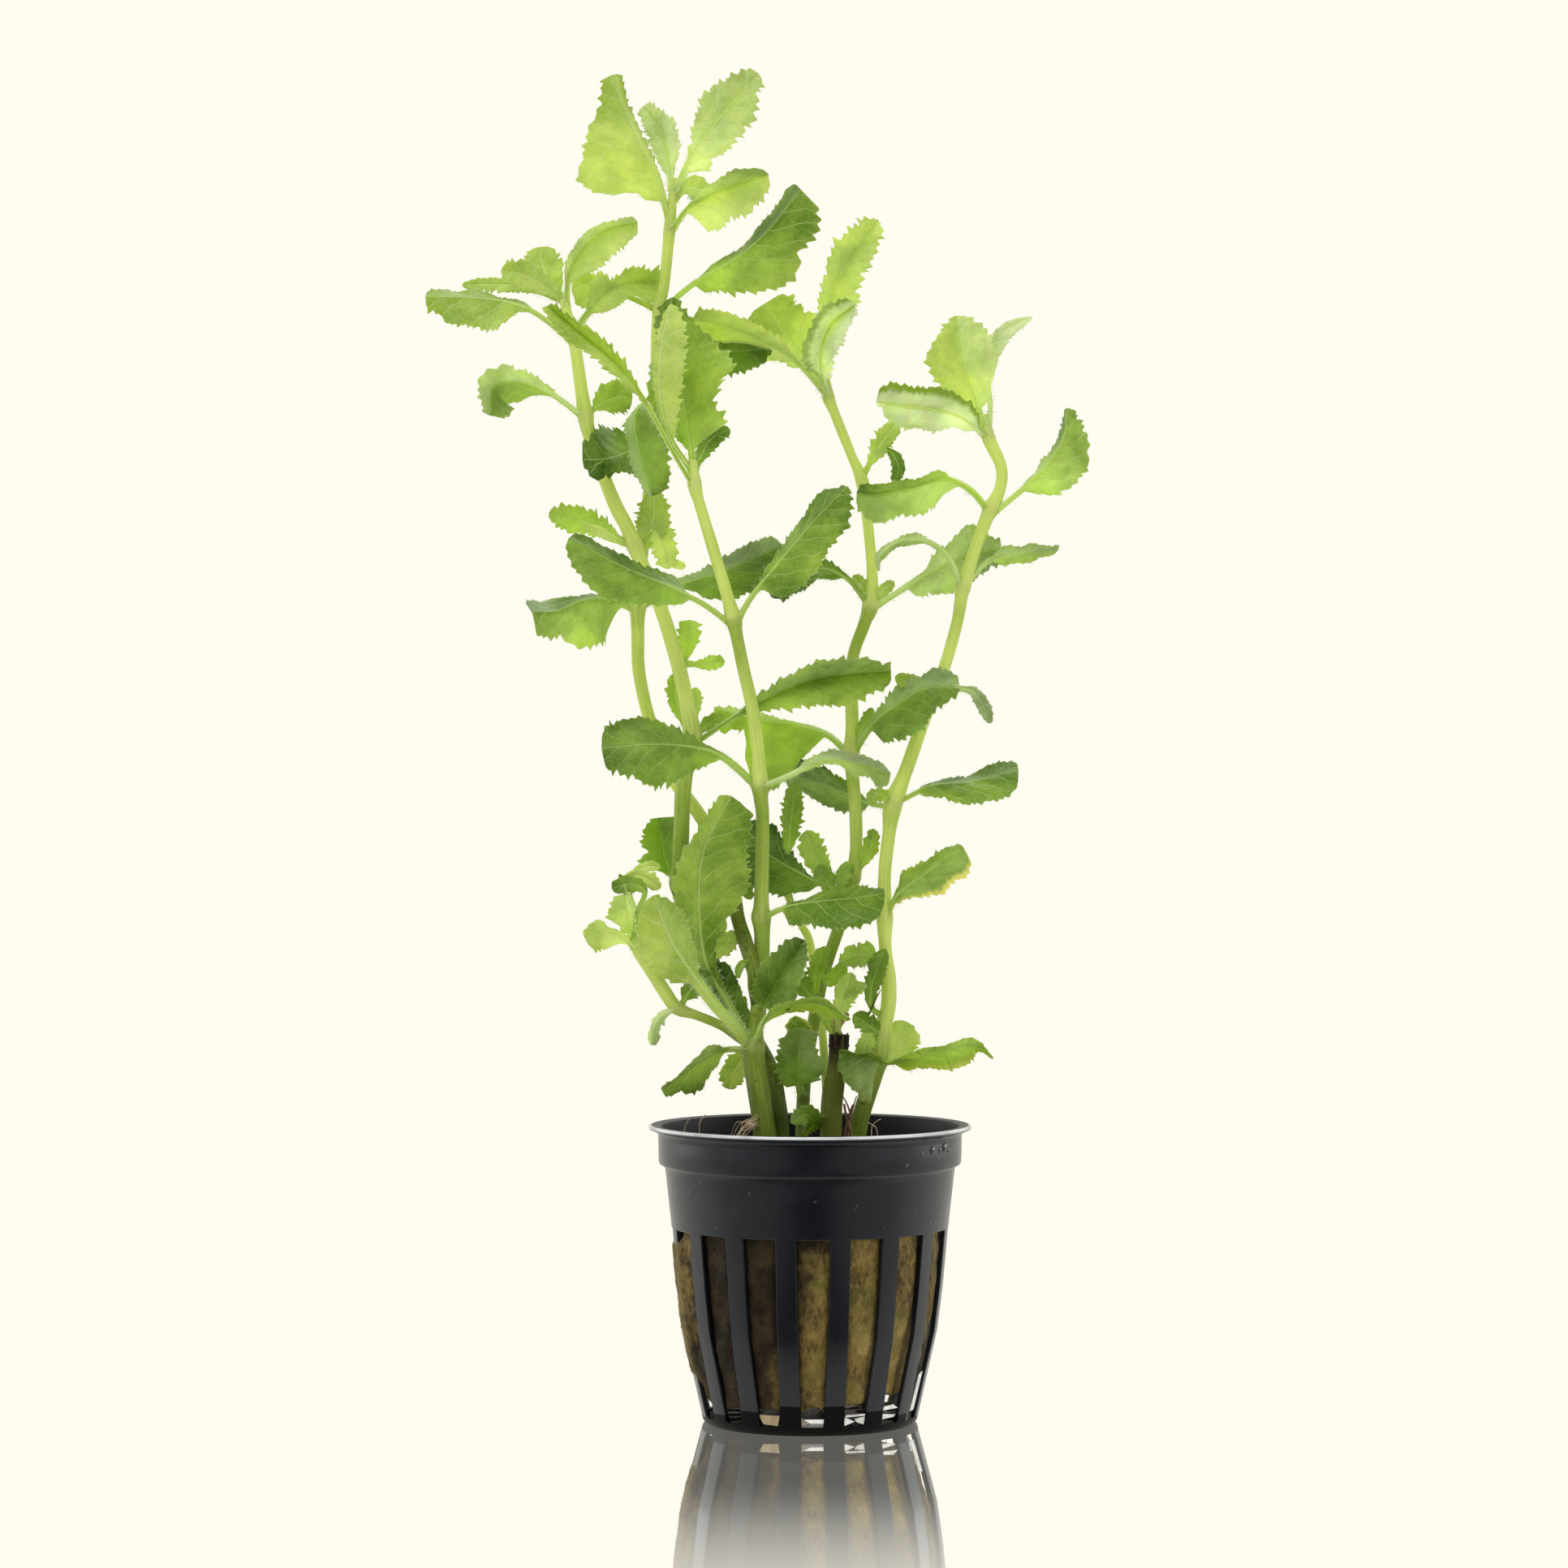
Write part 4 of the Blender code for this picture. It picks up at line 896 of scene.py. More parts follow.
stem("stalk_d", STEM_GREEN, [(-1.5, 40, 2.8, 2.4), (-1.4, 50, 3, 2.4), (-1.1, 58, 3.5, 2.4), (-0.2, 65, 4.5, 2.3),
     (2.3, 78, 5, 2.2), (5.3, 87.1, 5, 2.2), (7.2, 93.5, 4.6, 2.5), (7.7, 96, 4.5, 2.7), (8.1, 101, 4, 2.2),
     (8, 107, 4, 2.3), (7.4, 114, 4, 2.4), (7.3, 117.5, 4, 3), (7.4, 122, 4, 2.4), (7.4, 133, 4, 2.1),
     (9.4, 139.4, 4, 2.2), (10.6, 143, 4, 2.9), (10.9, 149, 4, 2), (10.3, 156, 4, 1.9), (9.2, 164.5, 4, 2.3),
     (7.2, 169.5, 4, 1.7), (4.4, 176.5, 4, 1.8), (3.2, 179.6, 4, 2.2), (2.6, 183, 4, 1.6)], (0.7, 0.1),
     fade=(60, 112), knots=(95.5, 117.5, 143, 165, 179.6), below=0.28, cad="stem_d")
stem("stalk_e", STEM_GREEN, [(6.6, 40, -0.6, 3.3), (8.2, 50, -0.6, 3.3), (9.4, 55, -0.6, 3), (11.4, 61, -0.4, 2.9),
     (12.1, 63.4, -0.2, 3.2), (12.5, 67.9, 0, 3.2), (13.7, 72.5, 0, 2.7), (13.8, 77, 0, 2.6), (13.2, 83.2, 0, 2.2),
     (13.1, 88.3, 0, 2.8), (13.1, 96, 0.2, 2.2), (13.8, 102.5, 0.4, 2.3), (14.4, 107.5, 0.5, 3.2),
     (15.2, 110, 0.5, 3), (16.8, 114, 0.5, 2.5), (20.2, 123.5, 0.3, 2.2), (23.6, 132.3, 0, 2.1), (25.7, 139.6, 0, 2),
     (26.5, 144.2, 0, 2.2), (26.8, 146, 0, 2.6), (29, 153, 0, 2.1), (30.8, 157.8, 0, 2.3), (31.7, 160, 0, 2.7),
     (33.4, 163.7, 0, 2), (33.5, 167.4, 0, 2), (31.6, 171.7, 0, 2.3), (31, 173.8, 0, 2), (30.6, 176.5, 0, 1.3)],
     (0.75, 0.08), fade=(56, 71), knots=(63.4, 67.9, 88.3, 108.5, 146, 160, 172.5), cad="stem_e")
stem("cut_stalk", STEM_OLD, [(3.2, 40, -1.6, 4.3), (3.6, 50, -1.6, 4.2), (4, 57, -1.6, 4), (4.9, 63.5, -1.6, 3.5),
     (5.1, 67.8, -1.6, 3.8)], (0.05, 1.1), fade=(60.5, 67), cad="stem_cut")
stem("side_stalk", STEM_GREEN, [(-10.4, 66, -4.9, 1.8), (-12.2, 67, -5.3, 1.6), (-15.5, 69.3, -5.9, 1.6),
     (-20, 71.2, -6.8, 1.6), (-23.3, 72.4, -7.2, 2.3), (-25.3, 75, -7.3, 2.4), (-27.6, 78.6, -7.6, 2.3),
     (-30, 82.3, -8, 2.2), (-31, 84.5, -8, 1.5)], (0.6, 0.1), fade=(66, 76), knots=(72.4,), cad="side_shoot")
stem("back_stalk", STEM_GREEN, [(2.4, 40, 8.5, 1.6), (3, 54, 9, 1.6), (2, 70, 10, 1.5), (0.1, 83.2, 10, 1.5),
     (-1.6, 87.1, 10, 1.4), (-4.1, 92.3, 10, 1.1)], (0.4, 0), fade=(55, 75), knots=(70,))

# Leaves of stem A
grown("a_crown_left", "young", [(-24.2, 209.2, 3.5), (-26.6, 217.5, 1), (-30.5, 225.5, -2), (-35.3, 236.3, -4)],
      (10.5, 12), (5, -55), 0.16, 0.42,
      (31, 42, 88, 110, 126, 98, 78, 52, 30, 22), (14, 22, 29, 36, 42, 45, 45, 38, 45, 66), slope=0.2, roll=(0, 0.5),
      square=True)
grown("a_crown_back", "young", [(-24, 215.6, 3), (-24.9, 222, 6.5), (-26.4, 227, 9), (-29.3, 230.8, 11)], (3.4, 20),
      (4.5, 50), 0.12, 0.59,
      (23, 50, 72, 81, 86, 88, 88, 75, 63, 53), (23, 59, 76, 83, 93, 97, 69, 59, 52, 38), frost=(0.4, 0.5))
grown("a_crown_right", "young", [(-23.9, 214.6, 3), (-20.5, 222, 1), (-16, 228.5, -1), (-8.7, 236.6, -4)], (5.4, 20),
      (6.2, 18), 0.15, 0.5,
      (6, 12, 32, 49, 69, 91, 89, 69, 63, 51), (20, 68, 59, 81, 90, 90, 85, 80, 42, 32), frost=(0.35, 0.35))
grown("a_209_right", "young", [(-24.6, 208.6, 3.5), (-21.4, 212.8, 1), (-17, 215.4, -1), (-12, 217.2, -3),
      (-7, 218.8, -4)], (6, 78), (7.2, 15), 0.2, 0.28,
      (8, 24, 38, 52, 64, 80, 104, 116, 99, 75), (23, 81, 86, 96, 89, 83, 91, 76, 60, 43), tones=(0.62, -0.07),
      frost=(0.3, 0.1), slope=0.2)
grown("a_195_right", "mid", [(-26.5, 194.6, 5), (-20.5, 199.6, 3), (-14, 203.2, 0), (-8, 208, -3), (-1.2, 216.3, -5)],
      (8, -70), (9, 15), 0.22, 0.6,
      (11, 29, 51, 62, 73, 80, 80, 76, 74, 88), (30, 38, 58, 77, 95, 110, 83, 80, 82, 56), tones=(0.78, 0.43),
      wear=0.25, slope=0.45, roll=(0.4, 0), square=True)
grown("a_176_left", "dark", [(-27.3, 173.8, 5), (-29.8, 171.2, 4.2), (-32.5, 169.7, 1.6), (-36, 168.7, -4.2),
      (-40.2, 168.5, -5)], (5, 20), (5.8, -5), 0.15, 0.56,
      (23, 50, 102, 115, 98, 79, 62, 74, 79, 49), (23, 81, 87, 99, 109, 99, 99, 100, 86, 65), tones=(0.65, 0.48))
grown("a_176_hanging", "dark", [(-27.1, 175.6, 5), (-29.3, 178, 1), (-30.6, 175.5, -2.5), (-29.5, 169, -4.5),
      (-27.6, 161.8, -4)], (5.5, 40), (2.3, -50), 0.2, 0.08,
      (23, 50, 97, 110, 117, 118, 115, 106, 90, 69), (23, 50, 119, 135, 135, 135, 135, 129, 110, 84),
      tones=(0.34, -0.19), frost=(0, 0.4))
grown("a_143_left", "mid", [(-30.2, 142.3, 6.3), (-35.5, 144.2, 4), (-40, 143.8, 1), (-44.5, 142, -1),
      (-49, 141.8, -3)], (8, 10), (7, -70), 0.12, 0.54,
      (25, 94, 99, 103, 105, 104, 103, 62, 60, 53), (25, 44, 53, 58, 84, 130, 126, 118, 102, 81), tones=(0.18, 0.9),
      frost=(0.1, 0), wear=0.15)
grown("a_143_right", "dark", [(-30.2, 142.3, 6.3), (-23.5, 146.6, 5), (-16, 149, 4), (-9, 151.8, 3.5),
      (-4.5, 153.8, 3)], (6, 65), (7, -50), 0.25, 0.4,
      (24, 32, 43, 59, 70, 79, 87, 83, 79, 79), (18, 43, 87, 100, 111, 111, 129, 120, 104, 80), tones=(0.32, 0.48),
      frost=(0.5, 0))

# Leaves of stem B
grown("b_crown_right", "young", [(-42, 189.8, -2), (-38.8, 194.4, 0), (-35.5, 198, 3), (-31, 199.8, 6),
      (-25, 199.5, 9)], (4.8, 40), (5, 40), 0.2, 0.61,
      (18, 43, 74, 87, 34, 63, 73, 57, 60, 46), (18, 73, 94, 78, 73, 99, 120, 109, 91, 70))
grown("b_crown_upright", "young", [(-43, 195.5, -2), (-42.3, 201.5, -3.5), (-39.3, 206.4, -5), (-35.3, 209.2, -6),
      (-29.9, 210.3, -6.5)], (5.5, 75), (5.2, 20), 0.15, 0.36,
      (18, 37, 49, 56, 63, 60, 59, 56, 49, 56), (18, 43, 76, 92, 98, 102, 102, 100, 78, 55), tones=(0.5, 0.23),
      frost=(0.4, 0.1))
grown("b_crown_left", "young", [(-41.2, 188.9, -2), (-46, 193, -4), (-50.5, 195.5, -5.5), (-58, 196.8, -6.5),
      (-67.9, 197.2, -7)], (7, 35), (6, -70), 0.33, 0.98,
      (14, 23, 68, 101, 96, 91, 94, 85, 54, 52), (49, 64, 73, 79, 82, 81, 78, 97, 84, 66), tones=(0.86, 1.1),
      slope=0.2)
grown("b_176_left", "mid", [(-39.3, 175.6, -1), (-45.2, 180, -4), (-50.5, 182.3, -6), (-55.6, 181.5, -8),
      (-56.3, 176, -9)], (6.6, -60), (5.2, 55), 0.28, 0.2,
      (18, 43, 97, 114, 125, 130, 128, 120, 104, 80), (30, 34, 40, 47, 57, 84, 79, 70, 50, 37), tones=(0.32, 0.07),
      frost=(0, 0.5), slope=0.2)
grown("b_120_right", "mid", [(-20.4, 118.8, 0), (-13.5, 123.3, 0.4), (-8, 126.4, 0.6), (0, 129.8, 0.2), (8, 131, 0),
      (14.8, 131.4, 0.4)], (6, 62), (6.5, 48), 0.22, 0.51,
      (16, 39, 57, 64, 78, 114, 99, 96, 85, 62), (16, 39, 57, 87, 103, 106, 122, 115, 85, 62), frost=(0.3, 0))
grown("b_94_left", "dark", [(-23.2, 93.8, 2), (-25.2, 98, 4.5), (-26.2, 102, 6), (-26.6, 106, 6.5)], (4.5, 40),
      (4, 30), 0.12, 0.12,
      (20, 46, 108, 125, 78, 93, 90, 84, 75, 55), (20, 46, 110, 127, 130, 133, 135, 133, 117, 93), tones=(-0.3, 0.53))

# Leaves of stem C
grown("c_crown_left", "young", [(-20.2, 163.4, -9), (-24.3, 170.3, -11), (-28.5, 178, -11), (-33.5, 185, -10.5),
      (-40, 190.5, -10), (-46.4, 196, -9)], (5.5, 68), (5.5, 60), 0.28, 0.41,
      (3, 5, 33, 73, 120, 112, 113, 108, 95, 74), (3, 5, 8, 29, 55, 59, 60, 57, 50, 39), tones=(0.61, 0.2),
      roll=(0, 0.5))
grown("c_crown_up", "mid", [(-20.6, 166.5, -9), (-21.3, 174.5, -7.5), (-23, 183, -6), (-24, 190, -5),
      (-24.2, 197.5, -4)], (7, -50), (8, 22), 0.1, 0.51,
      (29, 59, 117, 126, 127, 109, 87, 71, 76, 49), (28, 94, 73, 86, 135, 118, 94, 68, 44, 23), slope=0.3)
grown("c_140_left", "dark", [(-13.2, 139.4, -7), (-18.5, 143.3, -9), (-24, 146, -10.5), (-33, 149.8, -12),
      (-42.8, 155, -12.5)], (7.5, 30), (7, -70), 0.27, 0.51,
      (28, 45, 62, 80, 92, 100, 95, 78, 60, 40), (20, 82, 67, 77, 83, 86, 85, 80, 71, 56), tones=(0.36, 0.65))
grown("c_140_right", "mid", [(-13.2, 139.6, -7), (-10.3, 144.7, -9), (-6, 149.7, -10.5), (0.5, 157.5, -12),
      (7, 164.2, -12.5)], (6.5, -67), (7, 30), 0.25, 0.81,
      (21, 47, 67, 77, 83, 83, 91, 106, 108, 51), (57, 84, 96, 99, 95, 86, 86, 82, 64, 36), slope=-0.2)
grown("c_111_left", "dark", [(-8.8, 110.9, -3.6), (-15, 116.3, -5.5), (-20, 118, -7), (-28, 118.6, -8.5),
      (-37, 117.8, -9)], (7.8, 20), (6.5, -38), 0.27, 0.44,
      (20, 35, 56, 76, 96, 101, 93, 75, 67, 55), (10, 16, 28, 50, 72, 86, 95, 95, 90, 75))
grown("c_111_right", "mid", [(-8.8, 110.9, -3.6), (-3, 113.4, -8), (2.5, 116.2, -11), (8, 115.6, -14),
      (14.5, 113.4, -16)], (4.5, 75), (5, -58), 0.3, 0.41,
      (18, 43, 76, 90, 99, 102, 101, 94, 77, 80), (18, 31, 41, 48, 53, 91, 85, 75, 102, 87), tones=(0.47, 0.36),
      frost=(0.6, 0.25), hairy=2)
grown("c_88_right", "mid", [(-8.6, 88.1, -1.1), (-4.5, 90, -4.5), (2, 91, -7.5), (8, 91.6, -9.5),
      (13.5, 92.5, -10.5)], (6, -68), (6.5, 45), 0.2, 0.94,
      (36, 51, 62, 71, 85, 85, 84, 79, 70, 57), (28, 70, 79, 81, 90, 102, 102, 98, 96, 79))
grown("c_66_tall", "mid", [(-10.2, 65.6, -4.7), (-14.5, 73.5, -4.6), (-18.2, 80.5, -4.6), (-19.4, 91, -5),
      (-18.4, 100.5, -6), (-13.4, 110.2, -6.5)], (7, -38), (9.6, 8), 0.2, 0.6,
      (12, 20, 36, 60, 78, 84, 62, 40, 36, 40), (12, 16, 22, 40, 74, 92, 90, 76, 66, 56), tones=(0.5, 0.7), wear=0.12,
      slope=-0.45, teeth=0.5)
grown("c_66_left", "young", [(-10.2, 65.5, -5.4), (-13.1, 69.3, -9), (-16.3, 72.7, -10.4), (-20, 77.5, -11.8),
      (-23.5, 82.5, -13), (-25.8, 87.5, -14), (-27.5, 92.7, -14.5)], (6, 20), (5.5, -45), 0.47, 0.66,
      (20, 50, 75, 92, 100, 100, 92, 80, 62, 40), (20, 45, 70, 88, 100, 100, 94, 82, 64, 42), stalk=1.2, hairy=2)
grown("c_66_arching", "mid", [(-9.9, 65.6, -5.4), (-7.4, 70.8, -10), (-2.5, 73.3, -12.5), (2.5, 73, -13.5),
      (7.4, 70.2, -14)], (4.5, 80), (5.5, -65), 0.2, 0.2,
      (17, 41, 67, 85, 93, 95, 90, 80, 63, 42), (26, 48, 69, 86, 98, 104, 103, 91, 72, 48), tones=(0.44, -0.04),
      frost=(0.1, 0), wear=(0.15, 0.4))
grown("c_65_low", "mid", [(-10, 65.1, -5.4), (-15.5, 64.9, -8.5), (-20, 62.4, -10.5), (-26.3, 57.9, -12)], (5.5, -50),
      (5, 75), 0.25, 0.65,
      (21, 45, 57, 76, 113, 110, 105, 82, 68, 57), (46, 54, 85, 93, 77, 70, 59, 56, 62, 54), tones=(0.55, 0.74),
      frost=(0.1, 0.3))
grown("c_72_right", "dark", [(-9, 71.4, -2.6), (-6.6, 75.5, -6), (-4.4, 79.5, -8.5), (-0.9, 84.6, -9.5)], (5.5, 40),
      (5, 50), 0.12, 0.45,
      (35, 60, 75, 85, 90, 90, 85, 80, 62, 45), (40, 75, 105, 130, 135, 125, 110, 85, 65, 45), frost=(0.1, 0.1))

# Leaves of the side shoot
grown("shoot_hooked", "mid", [(-22.8, 72.2, -7.1), (-25.8, 71.2, -8), (-27.5, 68.8, -8.5), (-27.9, 65.8, -9)],
      (3.5, -70), (3.2, 70), 0.1, 0.01,
      (18, 77, 100, 92, 84, 130, 109, 92, 79, 61), (18, 43, 64, 64, 58, 60, 59, 55, 48, 37), tones=(0.17, -0.14),
      frost=(0.9, 1))
grown("shoot_left", "young", [(-29.6, 81.6, -8), (-33, 85.1, -9.4), (-36.5, 86.3, -10), (-39.9, 85.1, -10.5)],
      (4, -42), (3.2, 72), 0.2, 0.14,
      (18, 43, 101, 121, 131, 135, 131, 131, 111, 77), (18, 34, 45, 53, 58, 60, 128, 120, 104, 80), frost=(0.2, 0.1))
grown("shoot_up", "young", [(-30.4, 82.8, -7.9), (-31.6, 87.5, -7.4), (-32.6, 92.5, -6.5)], (3, 30), (3, 30), 0.12,
      -0.09,
      (18, 43, 65, 77, 96, 127, 127, 104, 92, 89), (17, 27, 36, 42, 46, 48, 48, 44, 38, 30), tones=(0.12, -0.3),
      frost=(0.1, 0.1))

# Leaves of stem D
grown("d_crown_up", "young", [(2.8, 180.2, 4), (2.3, 188, 7), (3.2, 196, 8.5), (7, 203.5, 8.5), (12.3, 211, 7.5)],
      (4.4, 30), (5.2, 30), 0.3, 0.28,
      (18, 32, 42, 58, 68, 89, 100, 89, 79, 63), (18, 43, 98, 115, 89, 87, 87, 69, 58, 44), tones=(0.35, 0.21),
      frost=(0.1, 0.1))
grown("d_crown_front", "young", [(3, 179.4, 4), (1.9, 184.5, 0.5), (2.3, 189, -3), (4.2, 192.8, -5),
      (8.3, 195.9, -6)], (5, 58), (5.4, 52), 0.18, 0.35,
      (18, 43, 83, 98, 107, 111, 109, 102, 88, 68), (45, 48, 63, 78, 87, 96, 108, 99, 90, 48), frost=(0.75, 0.85),
      roll=(0.8, 0), square=True)
grown("d_crown_back", "young", [(2.8, 180.8, 4), (-1.2, 186.5, 4.2), (-5, 191.5, 5), (-8, 196.2, 6)], (5.5, 15),
      (7, 15), 0.28, 0.14,
      (45, 58, 73, 88, 96, 100, 100, 95, 85, 69), (19, 44, 75, 87, 95, 75, 78, 68, 67, 58), slope=0.25)
grown("d_crown_left", "young", [(2.9, 180, 4), (-2.5, 185.9, 1.5), (-8, 189.3, -0.5), (-14, 191.7, -1.5),
      (-21, 193.3, -2)], (5.5, -58), (5, 65), 0.28, 0.13,
      (48, 72, 79, 93, 102, 106, 104, 97, 84, 65), (18, 43, 72, 84, 92, 96, 95, 109, 94, 72), tones=(-0.08, 0.35),
      frost=(0.1, 0.1), wear=0.3)
grown("d_143_left", "dark", [(10.5, 142.6, 4), (6.8, 147.5, 2), (2.5, 149.7, 0), (-3, 148.3, -1.5),
      (-7.6, 145.4, -2.5)], (5.5, -62), (5, 50), 0.3, 0.63,
      (43, 62, 85, 93, 108, 124, 112, 105, 104, 66), (12, 19, 34, 40, 44, 46, 45, 42, 37, 28), tones=(0.58, 0.68))
grown("d_143_right", "mid", [(10.8, 142.4, 4), (16, 145.7, 6), (21, 149, 7.5), (27, 151.7, 8.5), (34, 153.3, 9)],
      (6, 48), (6, -48), 0.28, 0.31,
      (5, 7, 17, 55, 55, 80, 112, 110, 73, 40), (48, 77, 97, 117, 125, 127, 122, 97, 80, 72), tones=(0.14, 0.48),
      frost=(0.5, 0.3), slope=0.2, square=True)
grown("d_117_left", "mid", [(7.1, 116.9, 4), (3, 120.5, 5.5), (-3, 122.3, 6.5), (-9, 123, 6.5), (-17.2, 125.2, 5.5)],
      (9.5, -15), (4, 75), 0.2, 0.16,
      (23, 51, 85, 120, 135, 135, 36, 29, 45, 17), (19, 39, 29, 57, 87, 86, 81, 72, 59, 41), tones=(0.25, 0.05),
      frost=(0, 0.5), slope=-0.2)
grown("d_117_right", "dark", [(7.5, 116.8, 4), (10.8, 121.8, 0.5), (15.5, 125.6, -2.5), (20.5, 128.4, -4.3),
      (26.6, 128.4, -5)], (3.4, -35), (6.5, 42), 0.22, 0.45,
      (25, 45, 54, 79, 104, 126, 79, 122, 110, 90), (17, 81, 95, 112, 123, 130, 112, 99, 72, 46), tones=(0.29, 0.62),
      frost=(0.3, 0))
grown("d_95_left", "dark", [(7.5, 95.2, 4.5), (2.4, 94.2, 7), (-3.2, 96.7, 8), (-8.5, 99.9, 8.5),
      (-14.5, 103.5, 9.5)], (6, 35), (5.8, -40), 0.25, 0.78,
      (43, 59, 94, 110, 120, 125, 123, 115, 100, 77), (10, 16, 34, 50, 70, 93, 113, 110, 99, 76), tones=(0.67, 0.88),
      frost=(0, 0.1))
grown("d_57_front", "dark", [(-1.2, 55.9, 3.4), (-2, 60, 0), (-2, 64, -3), (-1.5, 69.3, -5)], (5, 20), (5, 20), 0.25,
      0.14,
      (47, 63, 75, 82, 85, 84, 80, 73, 62, 47), (53, 79, 81, 98, 99, 96, 72, 55, 51, 68), tones=(0.24, 0.03),
      frost=(0.1, 0.3))

# Leaves of stem E
grown("e_crown_up", "young", [(31.1, 172.6, 0), (28.8, 179.5, -2), (26.4, 186, -3), (25.6, 194.2, -3.5)], (6.5, 25),
      (5.5, 30), 0.22, 0.29,
      (20, 46, 69, 80, 92, 107, 95, 65, 46, 27), (38, 52, 80, 103, 114, 121, 122, 118, 90, 61), frost=(0, 0.3),
      slope=-0.1)
grown("e_crown_left", "young", [(31.4, 172, 0), (27.2, 175.8, -2.5), (22, 177.5, -3.5), (16, 178.2, -4),
      (11.3, 178.8, -4)], (6, -50), (5.5, 55), 0.12, 0.45,
      (39, 49, 60, 83, 93, 93, 104, 93, 78, 22), (26, 53, 85, 94, 98, 101, 108, 101, 105, 84), tones=(0.32, 0.58),
      frost=(1, 0.9), roll=(0, 1), square=True)
grown("e_159_left", "mid", [(31.6, 159.4, 0), (28, 163.4, -2), (23.5, 165.2, -3.5), (18, 163.8, -4.5),
      (12, 162.6, -5), (7.8, 163, -5)], (6, -40), (5, 80), 0.27, 0.25,
      (35, 63, 87, 96, 102, 94, 98, 109, 87, 63), (12, 23, 92, 115, 104, 127, 126, 118, 102, 81), tones=(-0.04, 0.53),
      frost=(0.3, 0), slope=0.6)
grown("e_159_right", "mid", [(31.6, 159, 0), (37.3, 163.6, -1.5), (41.5, 167.5, -2.5), (44.5, 172.3, -3),
      (45.3, 178, -3.5)], (5, -72), (6, 25), 0.27, 0.53,
      (19, 45, 77, 110, 60, 59, 55, 48, 37, 39), (20, 51, 86, 107, 108, 107, 86, 64, 42, 28), tones=(0.63, 0.42),
      frost=(0.2, 0.1), slope=0.5)
grown("e_145_left", "mid", [(26.7, 145.4, 0), (24.4, 151, -2.5), (20.5, 154.2, -4), (15.5, 154.2, -5),
      (12.2, 151.7, -5.5), (12, 148.8, -6)], (4.5, -78), (4.5, 76), 0.3, 0.35,
      (18, 43, 73, 86, 94, 97, 96, 90, 78, 60), (6, 9, 9, 53, 58, 60, 59, 64, 56, 43), tones=(0.47, 0.23),
      frost=(0.1, 0.5))
grown("e_145_right", "mid", [(26.8, 145.6, 0), (30.5, 150, 0.6), (35, 152.1, 1.5), (43.8, 152.8, 3)], (4.5, 76),
      (4.5, -76), 0.3, 0.27,
      (18, 43, 86, 101, 73, 83, 73, 73, 64, 64), (18, 43, 101, 119, 130, 135, 133, 124, 108, 83), tones=(0.38, 0.15),
      frost=(0.3, 0))
grown("e_108_left", "dark", [(14.5, 107.7, 0.6), (11, 108.2, 6), (7.5, 109.8, 10.5), (0.3, 112.4, 13.5),
      (-8, 114.3, 14.5)], (6, -58), (5.5, 62), 0.25, 0.68,
      (18, 43, 101, 107, 107, 104, 96, 83, 66, 51), (18, 39, 57, 74, 105, 109, 107, 100, 87, 67), tones=(0.56, 0.8))
grown("e_108_right", "mid", [(14.6, 108.2, 0.5), (21, 111.2, -0.5), (28, 112, -2), (36.9, 114.2, -3.5)], (5.5, -72),
      (6, 58), 0.2, 0.81,
      (41, 53, 59, 76, 82, 88, 88, 106, 106, 85), (41, 60, 66, 75, 107, 120, 113, 120, 120, 91))
grown("e_88_right", "mid", [(13.2, 88.1, 0), (15.3, 92, -2.2), (20.5, 96, -3.5), (27, 101, -4)], (5.5, -62), (6, 45),
      0.18, 0.72,
      (20, 46, 104, 85, 70, 62, 59, 56, 54, 43), (26, 28, 54, 75, 92, 106, 90, 101, 99, 78), frost=(0, 0.1),
      wear=(0.15, 0.8), slope=-0.2)
grown("e_62_right", "mid", [(12, 62.6, -0.3), (17.5, 63.4, -4), (23.5, 65.2, -5.5), (29, 66, -6.5), (32.4, 63.3, -7)],
      (5, 78), (5.5, -58), 0.12, 0.3,
      (23, 53, 104, 115, 106, 106, 87, 67, 32, 19), (62, 69, 93, 103, 124, 130, 124, 79, 27, 11), tones=(0.36, 0.25),
      wear=(0.15, 0.45))
grown("e_62_front", "mid", [(12.3, 63, -1.2), (11.2, 63.4, -4), (8.4, 64.2, -6.4), (5, 65, -7.5)], (7.6, 15), (3, 74),
      0.08, 0.75,
      (90, 95, 100, 100, 92, 86, 80, 72, 60, 45), (30, 50, 70, 90, 100, 100, 90, 80, 60, 40), tones=(0.8, 0.7),
      frost=(0.15, 0))

# Small leaves and shoots in the axils, which the solids leave out
small("a_lobe", "young", [(-23.7, 214.2, 3), (-21.5, 216.3, 2), (-19.5, 215.8, 1), (-18.3, 213.6, 0.5)], 2.3, tone=0.6)
small("a_195_left", "young", [(-26.8, 194.8, 5), (-32, 197.2, 5), (-37, 198.6, 4), (-42, 199.8, 3)], (4.8, 2.5), 0.35,
      tone=0.4)
small("a_dark", "dark", [(-26.8, 185.6, 5), (-22, 186.5, 4), (-14, 187.5, 2.5), (-6.3, 188, 1)], (2.4, 4.4), 0.1,
      tone=0.4)
small("b_fan", "young", [(-43.3, 196.8, -2), (-45.5, 200, -1), (-47, 203, 0), (-47.4, 206, 1)], (3.4, 3.8), 0.1)
small("b_fan_left", "young", [(-43.2, 196.6, -2), (-47.5, 199.6, -3), (-51, 201.2, -4), (-54.4, 201.6, -4.5)], 2.7,
      0.15)
small("b_left_behind", "young", [(-43.2, 196.4, -2), (-50, 198.8, 1), (-56, 199.3, 2), (-61.3, 199.2, 3)], (1.5, 1.3),
      tone=0.6)
small("b_176_right", "mid", [(-39.3, 176.2, -1), (-36.5, 178.5, 1), (-33.5, 179.5, 3), (-31, 179.5, 4)], 3.4)
